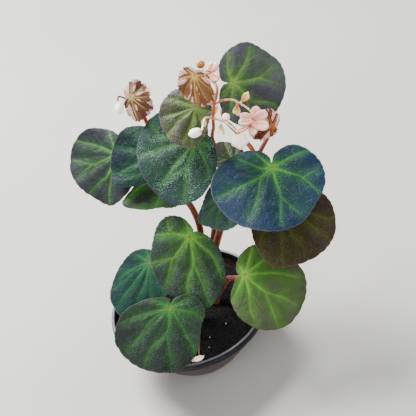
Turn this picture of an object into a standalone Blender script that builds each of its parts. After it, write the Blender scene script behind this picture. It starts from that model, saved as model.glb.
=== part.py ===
"""A potted begonia: a shallow plastic pot, potting mix, five canes with their petioles, fourteen green
and three young bronze leaves, a branched flower stalk, and its buds, flowers and seed pods.

Metres, +Z up. The origin is the centre of the pot's flat base, and the plant's front is -Y.
"""
import math
from collections import namedtuple

import bmesh
import bpy
from mathutils import Matrix, Vector

MM = 0.001
UP = Vector((0, 0, 1))
LEAF_GREEN = (0.09, 0.2, 0.09)
LEAF_BRONZE = (0.4, 0.2, 0.09)
STEM_BROWN = (0.3, 0.1, 0.04)
POT_BROWN = (0.055, 0.042, 0.04)

# Pot: the rim is a turned-over lip, and the wall runs in a full curve down to a small flat foot.
RIM_RADIUS = 60 * MM
RIM_TOP = 48 * MM
LIP_DEPTH = 5.5 * MM
# The lip's outline, from under its outer edge round to its inner edge: mm in from the rim, mm down.
LIP = ((0.5, 6.1), (0, 4.1), (0.2, 0.9), (1.1, 0), (2.3, 0), (3.2, 1))
NECK_RADIUS = 56.6 * MM
FOOT_RADIUS = 30 * MM
WALL = 1.6 * MM
WALL_CURVE = 0.8
POT_SEGMENTS = 40
WALL_STEPS = 5
FLOOR_INSET = 1.2 * MM
DRAIN_RADIUS = 2.5 * MM
DRAIN_CIRCLE = 17 * MM
DRAIN_COUNT = 5
DRAIN_SIDES = 10
DRAIN_DEPTH = 10 * MM

# Potting mix: it fills the pot to a little below the rim, and its top is crowned and uneven.
SOIL_TOP = 39.5 * MM
SOIL_CROWN = 1.5 * MM
SOIL_UNEVEN = 0.7 * MM
SOIL_LUMP = 21 * MM
SOIL_CLEARANCE = 0.5 * MM
SOIL_RINGS = 5
SOIL_FOOT_INSET = 2.1 * MM
SOIL_BLACK = (0.012, 0.011, 0.012)
HOLE_CLEARANCE = 0.35 * MM
ROOTED_DEPTH = 17 * MM

# Stems.
CANE_SIDES = 8
PETIOLE_SIDES = 6
CANE_TAPER = 0.25
PETIOLE_FOOT = 1.9 * MM
PETIOLE_HEAD = 1.15 * MM
PETIOLE_STEPS = 7
SEAT_GAP = 0.35 * MM

# Blades.
BLADE_THICKNESS = 0.8 * MM
REACH_START = 12
REACH_STEP = 24
FULL_TURN = 360
NOTCH = 4.5 * MM
BLADE_RINGS = (0.36, 0.7, 1.0)
EDGE_WAVES = 5

# Flowers.
PETAL_THICKNESS = 0.8 * MM
PETAL_POINTS = 10
PETAL_RINGS = (0.55, 1.0)
BUD_SEGMENTS = 12
BUD_RINGS = 8
BUD_GROOVE = 0.9
BUD_SEAM = 0.01
FALLEN_CUP = 0.8

# A blade lies on a plane through its hub, the place where the petiole meets it. The plane faces an
# azimuth and an elevation, in degrees. sinus is the direction of the notch in the blade's base, in
# degrees anticlockwise from the plane's level direction. reach is the distance from the hub to the
# edge in mm, every 24 degrees round from 12 degrees past the sinus. veins are the main veins'
# directions, in degrees round from the sinus. dome is how far the edge falls below the plane, fold
# how far the blade rises between its veins, and wave the height of its edge waves, all in mm.
Leaf = namedtuple("Leaf", "name hub faces sinus reach veins dome fold wave")

GREEN_LEAVES = (
    Leaf("leaf_back_right", (74, 69, 184), (-80, 48), 159,
         (8, 13, 20, 28, 35, 37, 38, 39, 39, 35, 33, 26, 19, 13, 9),
         (43, 82, 124, 152, 192, 240, 285), 3, 2.5, 1.2),
    Leaf("leaf_back_left", (43, 39, 193), (-100, 50), 49,
         (9, 12, 16, 21, 24, 27, 28, 29, 29, 22, 15.5, 13, 12, 11, 9),
         (60, 100, 136, 162, 193, 232, 285), 5, 5, 1.5),
    Leaf("leaf_upper_left", (37, 35, 168), (-95, 52), 36,
         (8, 12, 20, 31, 38, 42, 44, 46, 48, 41, 28, 20, 15, 12, 9),
         (45, 85, 118, 144, 182, 211, 245, 300), 3, 3, 1.5),
    Leaf("leaf_left_inner", (10, 54, 150), (-110, 52), 35,
         (8, 11, 16, 26, 36, 39, 41, 41, 25, 18, 15, 13, 12, 10, 8),
         (60, 100, 131, 163, 200, 250, 300), 3, 3, 1.5),
    Leaf("leaf_left_under", (12, 49, 129), (-100, 60), 41,
         (8, 10, 12, 14, 18, 25, 41, 31, 23, 22, 21, 18, 15, 12, 9),
         (60, 105, 148, 190, 235, 290), 3, 2.5, 1.5),
    Leaf("leaf_left_outer", (-22, 76, 144), (-120, 50), 42,
         (8, 11, 17, 24, 35, 42, 43, 40, 38, 39, 32, 24, 16, 11, 8),
         (79, 124, 147, 170, 198, 225, 280), 3, 3, 1.8),
    Leaf("leaf_right_upper", (83, 7, 150), (-88, 66), 73,
         (9, 17, 26, 36, 45, 47, 48, 48, 46, 41, 39, 35, 29, 22, 12),
         (44, 77, 120, 157, 188, 210, 239, 269, 298), 3, 3, 1.5),
    Leaf("leaf_right_middle", (86, -3, 124), (-75, 62), 75,
         (9, 12, 16, 21, 28, 37, 47, 46, 44, 41, 35, 29, 22, 14, 9),
         (60, 100, 137, 164, 189, 218, 240, 290), 4, 3, 1.8),
    Leaf("leaf_right_low", (46, -32, 95), (-70, 50), 151,
         (6, 10, 21, 32, 41, 47, 47, 45, 37, 29, 23, 16, 11, 8, 6),
         (63, 100, 123, 150, 178, 217, 252, 300), 4, 2.5, 1.2),
    Leaf("leaf_under_bloom", (60, 42, 134), (-85, 62), -54,
         (6, 8, 10, 12, 15, 18, 22, 20, 16, 13, 11, 9, 8, 7, 6),
         (70, 117, 148, 190, 235, 290), 2, 2, 1),
    Leaf("leaf_middle_small", (45, 12, 132), (-100, 58), 38,
         (8, 10, 11, 12, 12, 13, 16, 25, 24, 25, 24, 21, 17, 13, 9),
         (70, 120, 160, 189, 213, 241, 290), 3, 2, 1.2),
    Leaf("leaf_front_middle", (16, 2, 112), (-95, 48), 44,
         (6, 9, 16, 23, 26, 28, 34, 41, 47, 53, 41, 26, 15, 9, 6),
         (55, 91, 119, 158, 185, 212, 231, 256, 300), 4, 3, 1.5),
    Leaf("leaf_front_left", (-18, 6, 95), (-105, 50), 38,
         (7, 9, 10, 12, 15, 19, 27, 40, 46, 37, 30, 24, 17, 12, 8),
         (60, 110, 145, 173, 191, 213, 233, 257, 300), 3, 3, 1.5),
    Leaf("leaf_front_low", (-11, -34, 84), (-98, 58), 69,
         (7, 9, 12, 20, 35, 46, 47, 46, 44, 36, 27, 26, 22, 15, 8),
         (70, 117, 146, 168, 195, 224, 268, 310), 4, 3, 1.5),
)
YOUNG_LEAVES = (
    Leaf("young_leaf_left", (1, 67, 196), (-100, 45), 171,
         (5, 7, 9, 14, 19, 18, 18, 15, 15, 14, 14, 12, 9, 7, 5),
         (60, 105, 140, 180, 225, 270), 3, 2, 2),
    Leaf("young_leaf_top", (47, 26, 226), (-95, 45), 74,
         (6, 8, 10, 11, 12, 14, 16, 18, 22, 21, 12, 8, 7, 6, 5),
         (50, 100, 150, 185, 210, 235, 280), 4, 2.5, 1.5),
    Leaf("young_leaf_right", (92, 35, 163), (-90, 44), -10,
         (5, 8, 11, 13, 14, 15, 17, 17, 17, 13, 9, 7, 6, 5, 4),
         (60, 105, 150, 180, 215, 260, 300), 2, 2, 1.5),
)

# A cane runs through these points, in mm, with the radius given. The first point is in the soil. Each
# petiole leaves the cane at a share of its length, runs through its own points and ends under its leaf.
Cane = namedtuple("Cane", "name route radius petioles")
CANES = (
    Cane("cane_back", ((11, 12, 0), (12, 12, 40), (21, 15, 62), (33, 24, 88), (40, 30, 112), (44, 37, 135),
                       (46, 42, 150)), 3.2,
         (("leaf_back_left", 1.0, ((44.5, 46, 158), (46.5, 41, 173))),
          ("leaf_upper_left", 0.9, ((41, 42, 152),)),
          ("young_leaf_top", 0.96, ((45, 50, 160), (47.5, 51.5, 175), (48, 51, 203))),
          ("leaf_middle_small", 0.62, ((42, 22, 118),)))),
    Cane("cane_left", ((3, 14, 0), (4, 14, 40), (12, 20, 62), (23, 28, 88), (22, 38, 106), (15, 47, 116)), 3.0,
         (("leaf_left_inner", 1.0, ((15, 62, 131), (14, 65, 139))),
          ("leaf_left_under", 0.97, ()),
          ("leaf_left_outer", 0.92, ((2, 60, 122), (-12, 75, 133))),
          ("young_leaf_left", 1.0, ((10, 66, 132), (6, 84, 158), (3, 83, 178))))),
    Cane("cane_right", ((12, 3, 0), (13, 3, 40), (22, 8, 66), (34, 15, 90), (46, 23, 107), (61, 28, 120),
                        (70, 31, 132)), 3.2,
         (("leaf_right_upper", 0.97, ((77, 24, 139),)),
          ("leaf_right_middle", 0.8, ((72, 16, 115),)),
          ("leaf_under_bloom", 0.9, ((66, 42, 126),)),
          ("leaf_back_right", 1.0, ((75, 33, 147), (68, 45, 157), (61, 60, 167))),
          ("young_leaf_right", 0.99, ((80, 33, 146), (89.5, 38.5, 154.5))))),
    Cane("cane_front", ((20, 2, 0), (21, 1, 40), (28, -3, 58), (35, -10, 74)), 2.6,
         (("leaf_right_low", 0.97, ()),)),
    Cane("cane_low", ((0, -4, 0), (0, -5, 40), (3, -6, 56), (6, -5, 68)), 2.8,
         (("leaf_front_middle", 1.0, ((12, 4, 90),)),
          ("leaf_front_left", 0.85, ((-10, 8, 78),)),
          ("leaf_front_low", 0.75, ((-3, -18, 74),)))),
)
PETIOLE_APPROACH = 8 * MM

# The flower stalk stands on a short stub of the back cane and forks twice. Points in mm.
STUB = ((44, 37, 135), (47.5, 43, 146), (50, 43.5, 153))
FLOWER_STEM = ((50, 43.5, 153), (49.2, 39.4, 163), (50.2, 36, 171), (51.4, 30.4, 178.5), (52.5, 23.4, 192.3),
               (54.9, 24.3, 201), (57.5, 25.3, 205.5), (59.9, 29.5, 210), (58.6, 35.4, 212.2), (56.1, 38.5, 214.3))
STUB_RADIUS = (2 * MM, 1.6 * MM)
STEM_RADIUS = (1.3 * MM, 0.9 * MM)
PEDICEL_RADIUS = (0.85 * MM, 0.65 * MM)
FLOWER_SIDES = 6
FLOWER_GAP = 0.3 * MM

# A pedicel runs through its points, in mm, from inside the stem to just short of its flower.
PEDICELS = (
    ("bud_front", ((52.3, 22.8, 191.9), (49.5, 18.3, 196.5), (46.6, 13.5, 200), (44.4, 9, 198.8))),
    ("bud_large", ((52.3, 22.8, 191.9), (57.2, 24.2, 187.2), (61.3, 23.5, 183.3))),
    ("bud_small", ((61.3, 23.5, 183.3),)),
    ("bloom_hanging", ((57.2, 24.2, 187.2),)),
    ("bloom_open", ((54.9, 24.3, 201), (61.5, 34.3, 195.8), (69.3, 39.9, 190), (73.6, 40.5, 185), (78.5, 40, 179),
                    (80.6, 38, 172.5))),
    ("seed_pod_upper", ((73.6, 40.5, 185),)),
    ("seed_pod_lower", ((71.5, 40.2, 187.5),)),
    ("bloom_top", ((57, 37.4, 213.6),)),
    ("bud_brown", ((56.1, 38.5, 214.3), (54.6, 41.5, 216))),
)
# The left bud hangs from a side shoot of the left young leaf's petiole.
LEFT_SHOOT = ("bud_left", ((3, 83, 178), (-2, 77, 188), (-7, 69.5, 197.5)))

# A petal grows from its base along a direction, and its open side looks along facing. Sizes in mm.
Petal = namedtuple("Petal", "base along facing length width cup")
# A bloom is its petals round a small core.
Bloom = namedtuple("Bloom", "name core core_radius petals colour")
WHITE_PINK = (0.86, 0.66, 0.62)
PALE_PINK = (0.72, 0.5, 0.47)
CREAM = (0.8, 0.66, 0.45)
POD_ORANGE = (0.68, 0.4, 0.2)
FRONT_UP = (-0.1, -0.75, 0.65)

BLOOMS = (
    Bloom("bloom_top", (58.1, 39.4, 215.4), 1,
          (Petal((58.1, 39.4, 215.6), (0.49, 0.58, 0.65), FRONT_UP, 8.5, 7.5, 1.2),
           Petal((58.1, 39.4, 215.4), (0.55, -0.65, -0.2), (0.1, 0.2, 0.95), 7.5, 7, 1.2)), WHITE_PINK),
    Bloom("bloom_open", (79.9, 32.4, 173.6), 1.6,
          (Petal((80, 32.6, 174), (0.25, 0.6, 0.75), FRONT_UP, 9.5, 7.5, 1.2),
           Petal((80.2, 32.4, 173.8), (0.95, 0.35, 0.35), FRONT_UP, 10.5, 8.5, 1.2),
           Petal((80.2, 32, 173.2), (0.85, -0.35, -0.55), FRONT_UP, 10.5, 9, 1.2),
           Petal((79.6, 32.4, 174), (-0.9, 0.4, 0.5), FRONT_UP, 8, 7, 1.2),
           Petal((79.6, 32, 173.2), (-0.95, -0.1, -0.45), FRONT_UP, 13, 6, 1),
           Petal((79.8, 32, 173), (0.1, -0.6, -0.75), FRONT_UP, 9.5, 8, 1.2)), PALE_PINK),
    Bloom("bloom_hanging", (56.5, 22.2, 185), 0.8,
          (Petal((56.6, 22.2, 184.9), (-0.02, -0.66, -0.75), (0.3, -0.7, 0.65), 7, 2.6, 0.5),
           Petal((56.4, 22.2, 184.9), (-0.64, -0.5, -0.57), (-0.3, -0.7, 0.65), 5.8, 2.8, 0.5)), CREAM),
    Bloom("seed_pod_upper", (75.3, 40, 186.9), 1,
          (Petal((75.3, 40, 186.9), (0.67, -0.18, 0.72), (-0.5, -0.8, 0.4), 8.5, 5.5, 0.6),
           Petal((75.3, 40, 186.9), (0.75, 0.1, 0.65), (-0.5, 0.1, 0.8), 8, 4, 0.5)), POD_ORANGE),
    Bloom("seed_pod_lower", (71.3, 38.4, 185.8), 1,
          (Petal((71.4, 38.4, 185.8), (-0.21, -0.64, -0.74), FRONT_UP, 7.5, 4.2, 0.5),
           Petal((71.2, 38.4, 185.8), (-0.56, -0.54, -0.62), FRONT_UP, 6.5, 3.6, 0.5)), POD_ORANGE),
)
# A bract at the lower fork and a wing of the front bud's ovary are part of the stalk.
STALK_WINGS = (
    Petal((53.3, 23, 193.6), (0.54, 0.23, 0.81), FRONT_UP, 7.5, 2.8, 0.4),
    Petal((46.8, 14, 200.4), (-0.35, -0.75, -0.35), (0.6, -0.6, 0.5), 7, 4.4, 0.4),
)

# A closed bud: its middle, the way it hangs from its stalk, the way its flat side looks, and its
# length, width and depth in mm.
Bud = namedtuple("Bud", "name middle along facing size colour")
BUDS = (
    Bud("bud_large", (66.1, 17.4, 171.5), (-0.05, -0.5, -0.85), (-0.3, -0.75, 0.6), (12.4, 12.8, 9), WHITE_PINK),
    Bud("bud_front", (38.1, 4.9, 197), (-1, -0.05, -0.06), (0, -0.8, 0.6), (9.6, 6.6, 5.2), WHITE_PINK),
    Bud("bud_small", (61.3, 27, 187), (0, 0.6, 0.8), (-0.2, -0.8, 0.5), (5.4, 5.4, 4.4), PALE_PINK),
    Bud("bud_brown", (53.5, 45.5, 221.2), (-0.1, 0.45, 0.9), (0, -0.8, 0.6), (6, 6.2, 4.8), CREAM),
    Bud("bud_left", (-9, 62.6, 192.6), (-0.1, -0.6, -0.8), (0, -0.8, 0.6), (8.4, 6.4, 5.4), WHITE_PINK),
)
# Share of a bud's half length at which its tip stands.
BUD_TIP = 0.92

# A withered flower lies on the mix at the front, with its stalk. Level points in mm.
FALLEN_PETALS = (((2.5, -49), (-0.97, -0.25, 0), 8.8, 4.6), ((1.5, -46.5), (-0.9, -0.45, 0), 8.2, 4.6))
FALLEN_STALK = ((0.5, -47.5), (0, -44), (2.5, -33), (4, -22))
FALLEN_STALK_RADIUS = 0.5 * MM
FALLEN_GAP = 0.3 * MM


def mm(point):
    return Vector(point) * MM


def finish(name, maker, colour, roughness, smooth_angle=40):
    """Turn a bmesh into a named object with its own material."""
    mesh = bpy.data.meshes.new(name)
    bmesh.ops.recalc_face_normals(maker, faces=maker.faces)
    if maker.calc_volume(signed=True) < 0:
        bmesh.ops.reverse_faces(maker, faces=maker.faces)
    maker.to_mesh(mesh)
    maker.free()
    part = bpy.data.objects.new(name, mesh)
    bpy.context.collection.objects.link(part)
    material = bpy.data.materials.new(name)
    material.use_nodes = True
    shader = material.node_tree.nodes["Principled BSDF"]
    shader.inputs["Base Color"].default_value = (*colour, 1)
    shader.inputs["Roughness"].default_value = roughness
    mesh.materials.append(material)
    mesh.shade_smooth()
    mesh.set_sharp_from_angle(angle=math.radians(smooth_angle))
    return part


def clear_scene():
    for part in list(bpy.data.objects):
        bpy.data.objects.remove(part, do_unlink=True)


def join(name, parts, colour, roughness):
    """Fuse overlapping solids into one named solid."""
    group = bpy.data.collections.new(name + "_parts")
    bpy.context.scene.collection.children.link(group)
    base, rest = parts[0], parts[1:]
    for part in rest:
        for holder in part.users_collection:
            holder.objects.unlink(part)
        group.objects.link(part)
    union = base.modifiers.new("Union", "BOOLEAN")
    union.operation = "UNION"
    union.operand_type = "COLLECTION"
    union.collection = group
    union.solver = "EXACT"
    bpy.context.view_layer.update()
    shape = bpy.data.meshes.new_from_object(base.evaluated_get(bpy.context.evaluated_depsgraph_get()))
    for part in parts:
        bpy.data.objects.remove(part, do_unlink=True)
    bpy.data.collections.remove(group)
    maker = bmesh.new()
    maker.from_mesh(shape)
    return finish(name, maker, colour, roughness)


def turned(profile, segments):
    """Turn a closed profile of (radius, height) points about the Z axis."""
    maker = bmesh.new()
    ring = [maker.verts.new((radius, 0, height)) for radius, height in profile]
    edges = [maker.edges.new((ring[i], ring[i + 1])) for i in range(len(ring) - 1)]
    bmesh.ops.spin(maker, geom=ring + edges, cent=(0, 0, 0), axis=(0, 0, 1), angle=2 * math.pi,
                   steps=segments, use_merge=True)
    bmesh.ops.remove_doubles(maker, verts=maker.verts, dist=0.01 * MM)
    return maker


def wall_radius(height):
    """Radius of the pot's outer wall at a height below the lip."""
    share = max(height, 0) / (RIM_TOP - LIP_DEPTH)
    return FOOT_RADIUS + (NECK_RADIUS - FOOT_RADIUS) * share ** WALL_CURVE


def wall_levels():
    neck = RIM_TOP - LIP_DEPTH
    return [neck * step / WALL_STEPS for step in range(WALL_STEPS + 1)]


def make_pot():
    outer = [(wall_radius(height), height) for height in wall_levels()]
    lip = [(RIM_RADIUS - inset * MM, RIM_TOP - drop * MM) for inset, drop in LIP]
    inner = [(wall_radius(height) - WALL, height) for height in reversed(wall_levels()[1:])]
    floor = [(FOOT_RADIUS - FLOOR_INSET, WALL), (0, WALL)]
    pot = finish("pot", turned([(0, 0)] + outer + lip + inner + floor, POT_SEGMENTS), POT_BROWN, 0.5)
    for number in range(DRAIN_COUNT):
        turn = 2 * math.pi * number / DRAIN_COUNT
        drill = bmesh.new()
        bmesh.ops.create_cone(drill, cap_ends=True, segments=DRAIN_SIDES, radius1=DRAIN_RADIUS,
                              radius2=DRAIN_RADIUS, depth=DRAIN_DEPTH)
        bmesh.ops.translate(drill, verts=drill.verts,
                            vec=(DRAIN_CIRCLE * math.cos(turn), DRAIN_CIRCLE * math.sin(turn), 0))
        subtract(pot, finish("drain_cutter_%d" % number, drill, POT_BROWN, 0.5))
    return pot


def subtract(part, cutter):
    """Cut one solid out of another, and leave the cutter as a hidden guide."""
    cutter.hide_render = True
    cutter.display_type = "WIRE"
    cut = part.modifiers.new("Cut", "BOOLEAN")
    cut.operation = "DIFFERENCE"
    cut.object = cutter


def soil_height(x, y):
    """Height of the potting mix: crowned in the middle and gently uneven."""
    far = math.hypot(x, y) / RIM_RADIUS
    lumps = math.sin(x / SOIL_LUMP * math.pi + 1.3) * math.cos(y / SOIL_LUMP * math.pi - 0.4)
    return SOIL_TOP + SOIL_CROWN * (1 - far ** 2) + SOIL_UNEVEN * lumps


def make_soil():
    """The mix in the pot: a round solid that follows the pot's inside at a small clearance."""
    maker = bmesh.new()
    rim = wall_radius(SOIL_TOP) - WALL - SOIL_CLEARANCE
    bottom = WALL + SOIL_CLEARANCE
    spots = [(rim * ring / SOIL_RINGS, None) for ring in range(1, SOIL_RINGS + 1)]
    spots += [(wall_radius(height) - WALL - SOIL_CLEARANCE, height) for height in reversed(wall_levels()[1:-1])]
    spots += [(FOOT_RADIUS - SOIL_FOOT_INSET, bottom)]
    top = maker.verts.new((0, 0, soil_height(0, 0)))
    rings = []
    for radius, height in spots:
        ring = []
        for number in range(POT_SEGMENTS):
            turn = 2 * math.pi * number / POT_SEGMENTS
            x, y = radius * math.cos(turn), radius * math.sin(turn)
            ring.append(maker.verts.new((x, y, soil_height(x, y) if height is None else height)))
        rings.append(ring)
    base = maker.verts.new((0, 0, bottom))
    for number in range(POT_SEGMENTS):
        after = (number + 1) % POT_SEGMENTS
        maker.faces.new((top, rings[0][number], rings[0][after]))
        for high, low in zip(rings, rings[1:]):
            maker.faces.new((high[number], low[number], low[after]))
            maker.faces.new((high[number], low[after], high[after]))
        maker.faces.new((base, rings[-1][after], rings[-1][number]))
    return finish("soil", maker, SOIL_BLACK, 0.95)


def curve_point(points, place):
    """A point at a share, 0 to 1, along a smooth curve through the points."""
    spans = len(points) - 1
    at = min(max(place, 0), 1) * spans
    span = min(int(at), spans - 1)
    share = at - span
    before = points[span - 1] if span > 0 else points[0] * 2 - points[1]
    after = points[span + 2] if span + 2 <= spans else points[spans] * 2 - points[spans - 1]
    start, end = points[span], points[span + 1]
    return 0.5 * (2 * start + (end - before) * share
                  + (2 * before - 5 * start + 4 * end - after) * share ** 2
                  + (3 * start - before - 3 * end + after) * share ** 3)


def tube(points, radii, sides, first_normal=None, last_normal=None):
    """A closed tube along the points. Its ends are square to the given normals."""
    maker = bmesh.new()
    rings = []
    side = None
    last = len(points) - 1
    for place, point in enumerate(points):
        along = points[min(place + 1, last)] - points[max(place - 1, 0)]
        if place == 0 and first_normal:
            along = first_normal
        if place == last and last_normal:
            along = last_normal
        along = along.normalized()
        if side is None:
            side = along.orthogonal()
        side = (side - along * side.dot(along)).normalized()
        other = along.cross(side)
        ring = []
        for number in range(sides):
            turn = 2 * math.pi * number / sides
            ring.append(maker.verts.new(point + radii[place] * (side * math.cos(turn) + other * math.sin(turn))))
        rings.append(ring)
    for low, high in zip(rings, rings[1:]):
        for number in range(sides):
            after = (number + 1) % sides
            maker.faces.new((low[number], low[after], high[after], high[number]))
    maker.faces.new(reversed(rings[0]))
    maker.faces.new(rings[-1])
    return maker


def plane_axes(leaf):
    """The normal, level direction and uphill direction of a blade's plane."""
    azimuth, elevation = (math.radians(angle) for angle in leaf.faces)
    normal = Vector((math.cos(azimuth) * math.cos(elevation), math.sin(azimuth) * math.cos(elevation),
                     math.sin(elevation)))
    level = UP.cross(normal).normalized()
    return normal, level, normal.cross(level)


def edge_points(leaf):
    """The blade's edge in its plane: round the notch and then once round the blade."""
    turns = [0] + [REACH_START + REACH_STEP * number for number in range(len(leaf.reach))]
    reaches = [NOTCH / MM] + list(leaf.reach)
    corners = []
    for turn, reach in zip(turns, reaches):
        angle = math.radians(leaf.sinus + turn)
        corners.append(Vector((math.cos(angle), math.sin(angle))) * reach * MM)
    count = len(corners)
    edge = []
    for number in range(count):
        four = [corners[(number + shift) % count] for shift in (-1, 0, 1, 2)]
        edge.append(four[1])
        edge.append((9 * (four[1] + four[2]) - four[0] - four[3]) / 16)
    return edge


def bulge(leaf, turn):
    """0 on a main vein and 1 midway between two, for an angle in degrees round from the sinus."""
    veins = (0, *leaf.veins, FULL_TURN)
    for low, high in zip(veins, veins[1:]):
        if low <= turn <= high:
            return math.sin(math.pi * (turn - low) / (high - low))
    return 0


def blade_rise(leaf, turn, distance, share):
    """Height of the blade above its plane, at a distance and a share of the way from hub to edge."""
    far = distance / (max(leaf.reach) * MM)
    wave = math.sin(math.radians(EDGE_WAVES * turn + 40 * leaf.veins[0]))
    return MM * (leaf.fold * (bulge(leaf, turn) - 0.4) * far * (1.3 - 0.5 * far)
                 - leaf.dome * far ** 2 + leaf.wave * wave * far * share ** 2)


def plate(maker, centre, rings, offset):
    """A thin closed plate round a middle surface, with the same triangles on both faces."""
    sides = []
    for shift in (offset, -offset):
        sides.append((maker.verts.new(centre + shift), [[maker.verts.new(spot + shift) for spot in ring]
                                                        for ring in rings]))
    count = len(rings[0])
    for upper, (middle, loops) in zip((True, False), sides):
        for number in range(count):
            after = (number + 1) % count
            triangles = [(middle, loops[0][number], loops[0][after])]
            for low, high in zip(loops, loops[1:]):
                triangles.append((low[number], high[number], high[after]))
                triangles.append((low[number], high[after], low[after]))
            for triangle in triangles:
                maker.faces.new(triangle if upper else reversed(triangle))
    top, bottom = sides[0][1][-1], sides[1][1][-1]
    for number in range(count):
        after = (number + 1) % count
        maker.faces.new((top[number], bottom[number], bottom[after]))
        maker.faces.new((top[number], bottom[after], top[after]))


def make_blade(leaf, colour):
    normal, level, uphill = plane_axes(leaf)
    hub = mm(leaf.hub)
    rings = []
    for share in BLADE_RINGS:
        ring = []
        for flat in edge_points(leaf):
            turn = (math.degrees(math.atan2(flat.y, flat.x)) - leaf.sinus) % FULL_TURN
            spot = flat * share
            rise = blade_rise(leaf, turn, spot.length, share)
            ring.append(hub + level * spot.x + uphill * spot.y + normal * rise)
        rings.append(ring)
    maker = bmesh.new()
    plate(maker, hub, rings, normal * 0.5 * BLADE_THICKNESS)
    return finish(leaf.name, maker, colour, 0.45, 60)


def make_petal(shape):
    """A thin oval plate, cupped towards the side that it faces."""
    along = Vector(shape.along).normalized()
    facing = Vector(shape.facing)
    facing = (facing - along * facing.dot(along)).normalized()
    across = facing.cross(along)
    base, length, width = mm(shape.base), shape.length * MM, shape.width * MM

    def spot(turn, share):
        forward = 0.5 - 0.5 * math.cos(turn) * share
        sideways = 0.5 * math.sin(turn) * share * (0.7 + 0.45 * forward)
        rise = shape.cup * MM * ((2 * forward - 1) ** 2 + (2 * sideways) ** 2)
        return base + along * forward * length + across * sideways * width + facing * rise

    turns = [2 * math.pi * number / PETAL_POINTS for number in range(PETAL_POINTS)]
    rings = [[spot(turn, share) for turn in turns] for share in PETAL_RINGS]
    maker = bmesh.new()
    plate(maker, spot(0, 0), rings, facing * 0.5 * PETAL_THICKNESS)
    return finish("petal", maker, PALE_PINK, 0.5)


def make_bloom(bloom):
    core = bmesh.new()
    bmesh.ops.create_icosphere(core, subdivisions=2, radius=bloom.core_radius * MM,
                               matrix=Matrix.Translation(mm(bloom.core)))
    parts = [finish("core", core, bloom.colour, 0.5)] + [make_petal(petal) for petal in bloom.petals]
    return join(bloom.name, parts, bloom.colour, 0.5)


def make_bud(bud):
    """Two closed petals, with a groove round the bud where their edges meet."""
    along = Vector(bud.along).normalized()
    facing = Vector(bud.facing)
    facing = (facing - along * facing.dot(along)).normalized()
    across = facing.cross(along)
    length, width, depth = (side * MM / 2 for side in bud.size)
    maker = bmesh.new()
    bmesh.ops.create_uvsphere(maker, u_segments=BUD_SEGMENTS, v_segments=BUD_RINGS, radius=1)
    for vert in maker.verts:
        x, y, z = vert.co
        on_seam = abs(z) < BUD_SEAM
        groove = BUD_GROOVE if on_seam else 1
        flat = groove * (along * x * length + across * y * width)
        vert.co = mm(bud.middle) + flat + facing * z * depth
    return finish(bud.name, maker, bud.colour, 0.5)


def smooth_tube(route, radii, sides, **ends):
    steps = 2 * (len(route) - 1)
    path = [curve_point(route, step / steps) for step in range(steps + 1)]
    widths = [radii[0] + (radii[1] - radii[0]) * step / steps for step in range(steps + 1)]
    return tube(path, widths, sides, **ends)


def flower_seat(flower, before):
    """Where a pedicel ends at a flower, and the direction of its end."""
    if isinstance(flower, Bud):
        along = Vector(flower.along).normalized()
        return mm(flower.middle) - along * (0.5 * BUD_TIP * flower.size[0] * MM + FLOWER_GAP), along
    along = (mm(flower.core) - before).normalized()
    return mm(flower.core) - along * (flower.core_radius * MM + FLOWER_GAP), along


def make_pedicel(flower_name, points):
    flower = {flower.name: flower for flower in BLOOMS + BUDS}[flower_name]
    route = [mm(point) for point in points]
    end, along = flower_seat(flower, route[-1])
    return finish("pedicel", smooth_tube(route + [end], PEDICEL_RADIUS, FLOWER_SIDES, last_normal=along),
                  CREAM, 0.5)


def make_flower_stalk():
    stem = [mm(point) for point in FLOWER_STEM]
    rise = (stem[1] - stem[0]).normalized()
    stem[0] = stem[0] + rise * FLOWER_GAP
    parts = [finish("stem", smooth_tube(stem, STEM_RADIUS, FLOWER_SIDES, first_normal=rise), CREAM, 0.5)]
    parts += [make_pedicel(name, points) for name, points in PEDICELS]
    parts += [make_petal(wing) for wing in STALK_WINGS]
    return join("flower_stalk", parts, (0.5, 0.2, 0.1), 0.5)


def make_fallen_flower():
    """Two limp petals and their stalk, a small gap above the uneven mix."""
    parts = []
    for (x, y), along, length, width in FALLEN_PETALS:
        height = max(soil_height(x * MM, y * MM), soil_height((x - length) * MM, y * MM)) + FALLEN_GAP
        base = (x, y, (height + 0.5 * PETAL_THICKNESS) / MM)
        parts.append(make_petal(Petal(base, along, UP, length, width, FALLEN_CUP)))
    stalk = []
    for x, y in FALLEN_STALK:
        level = soil_height(x * MM, y * MM) + FALLEN_GAP + FALLEN_STALK_RADIUS
        stalk.append(Vector((x * MM, y * MM, level)))
    parts.append(finish("stalk", smooth_tube(stalk, (FALLEN_STALK_RADIUS, FALLEN_STALK_RADIUS), FLOWER_SIDES),
                        CREAM, 0.5))
    return join("fallen_flower", parts, CREAM, 0.6)


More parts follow.
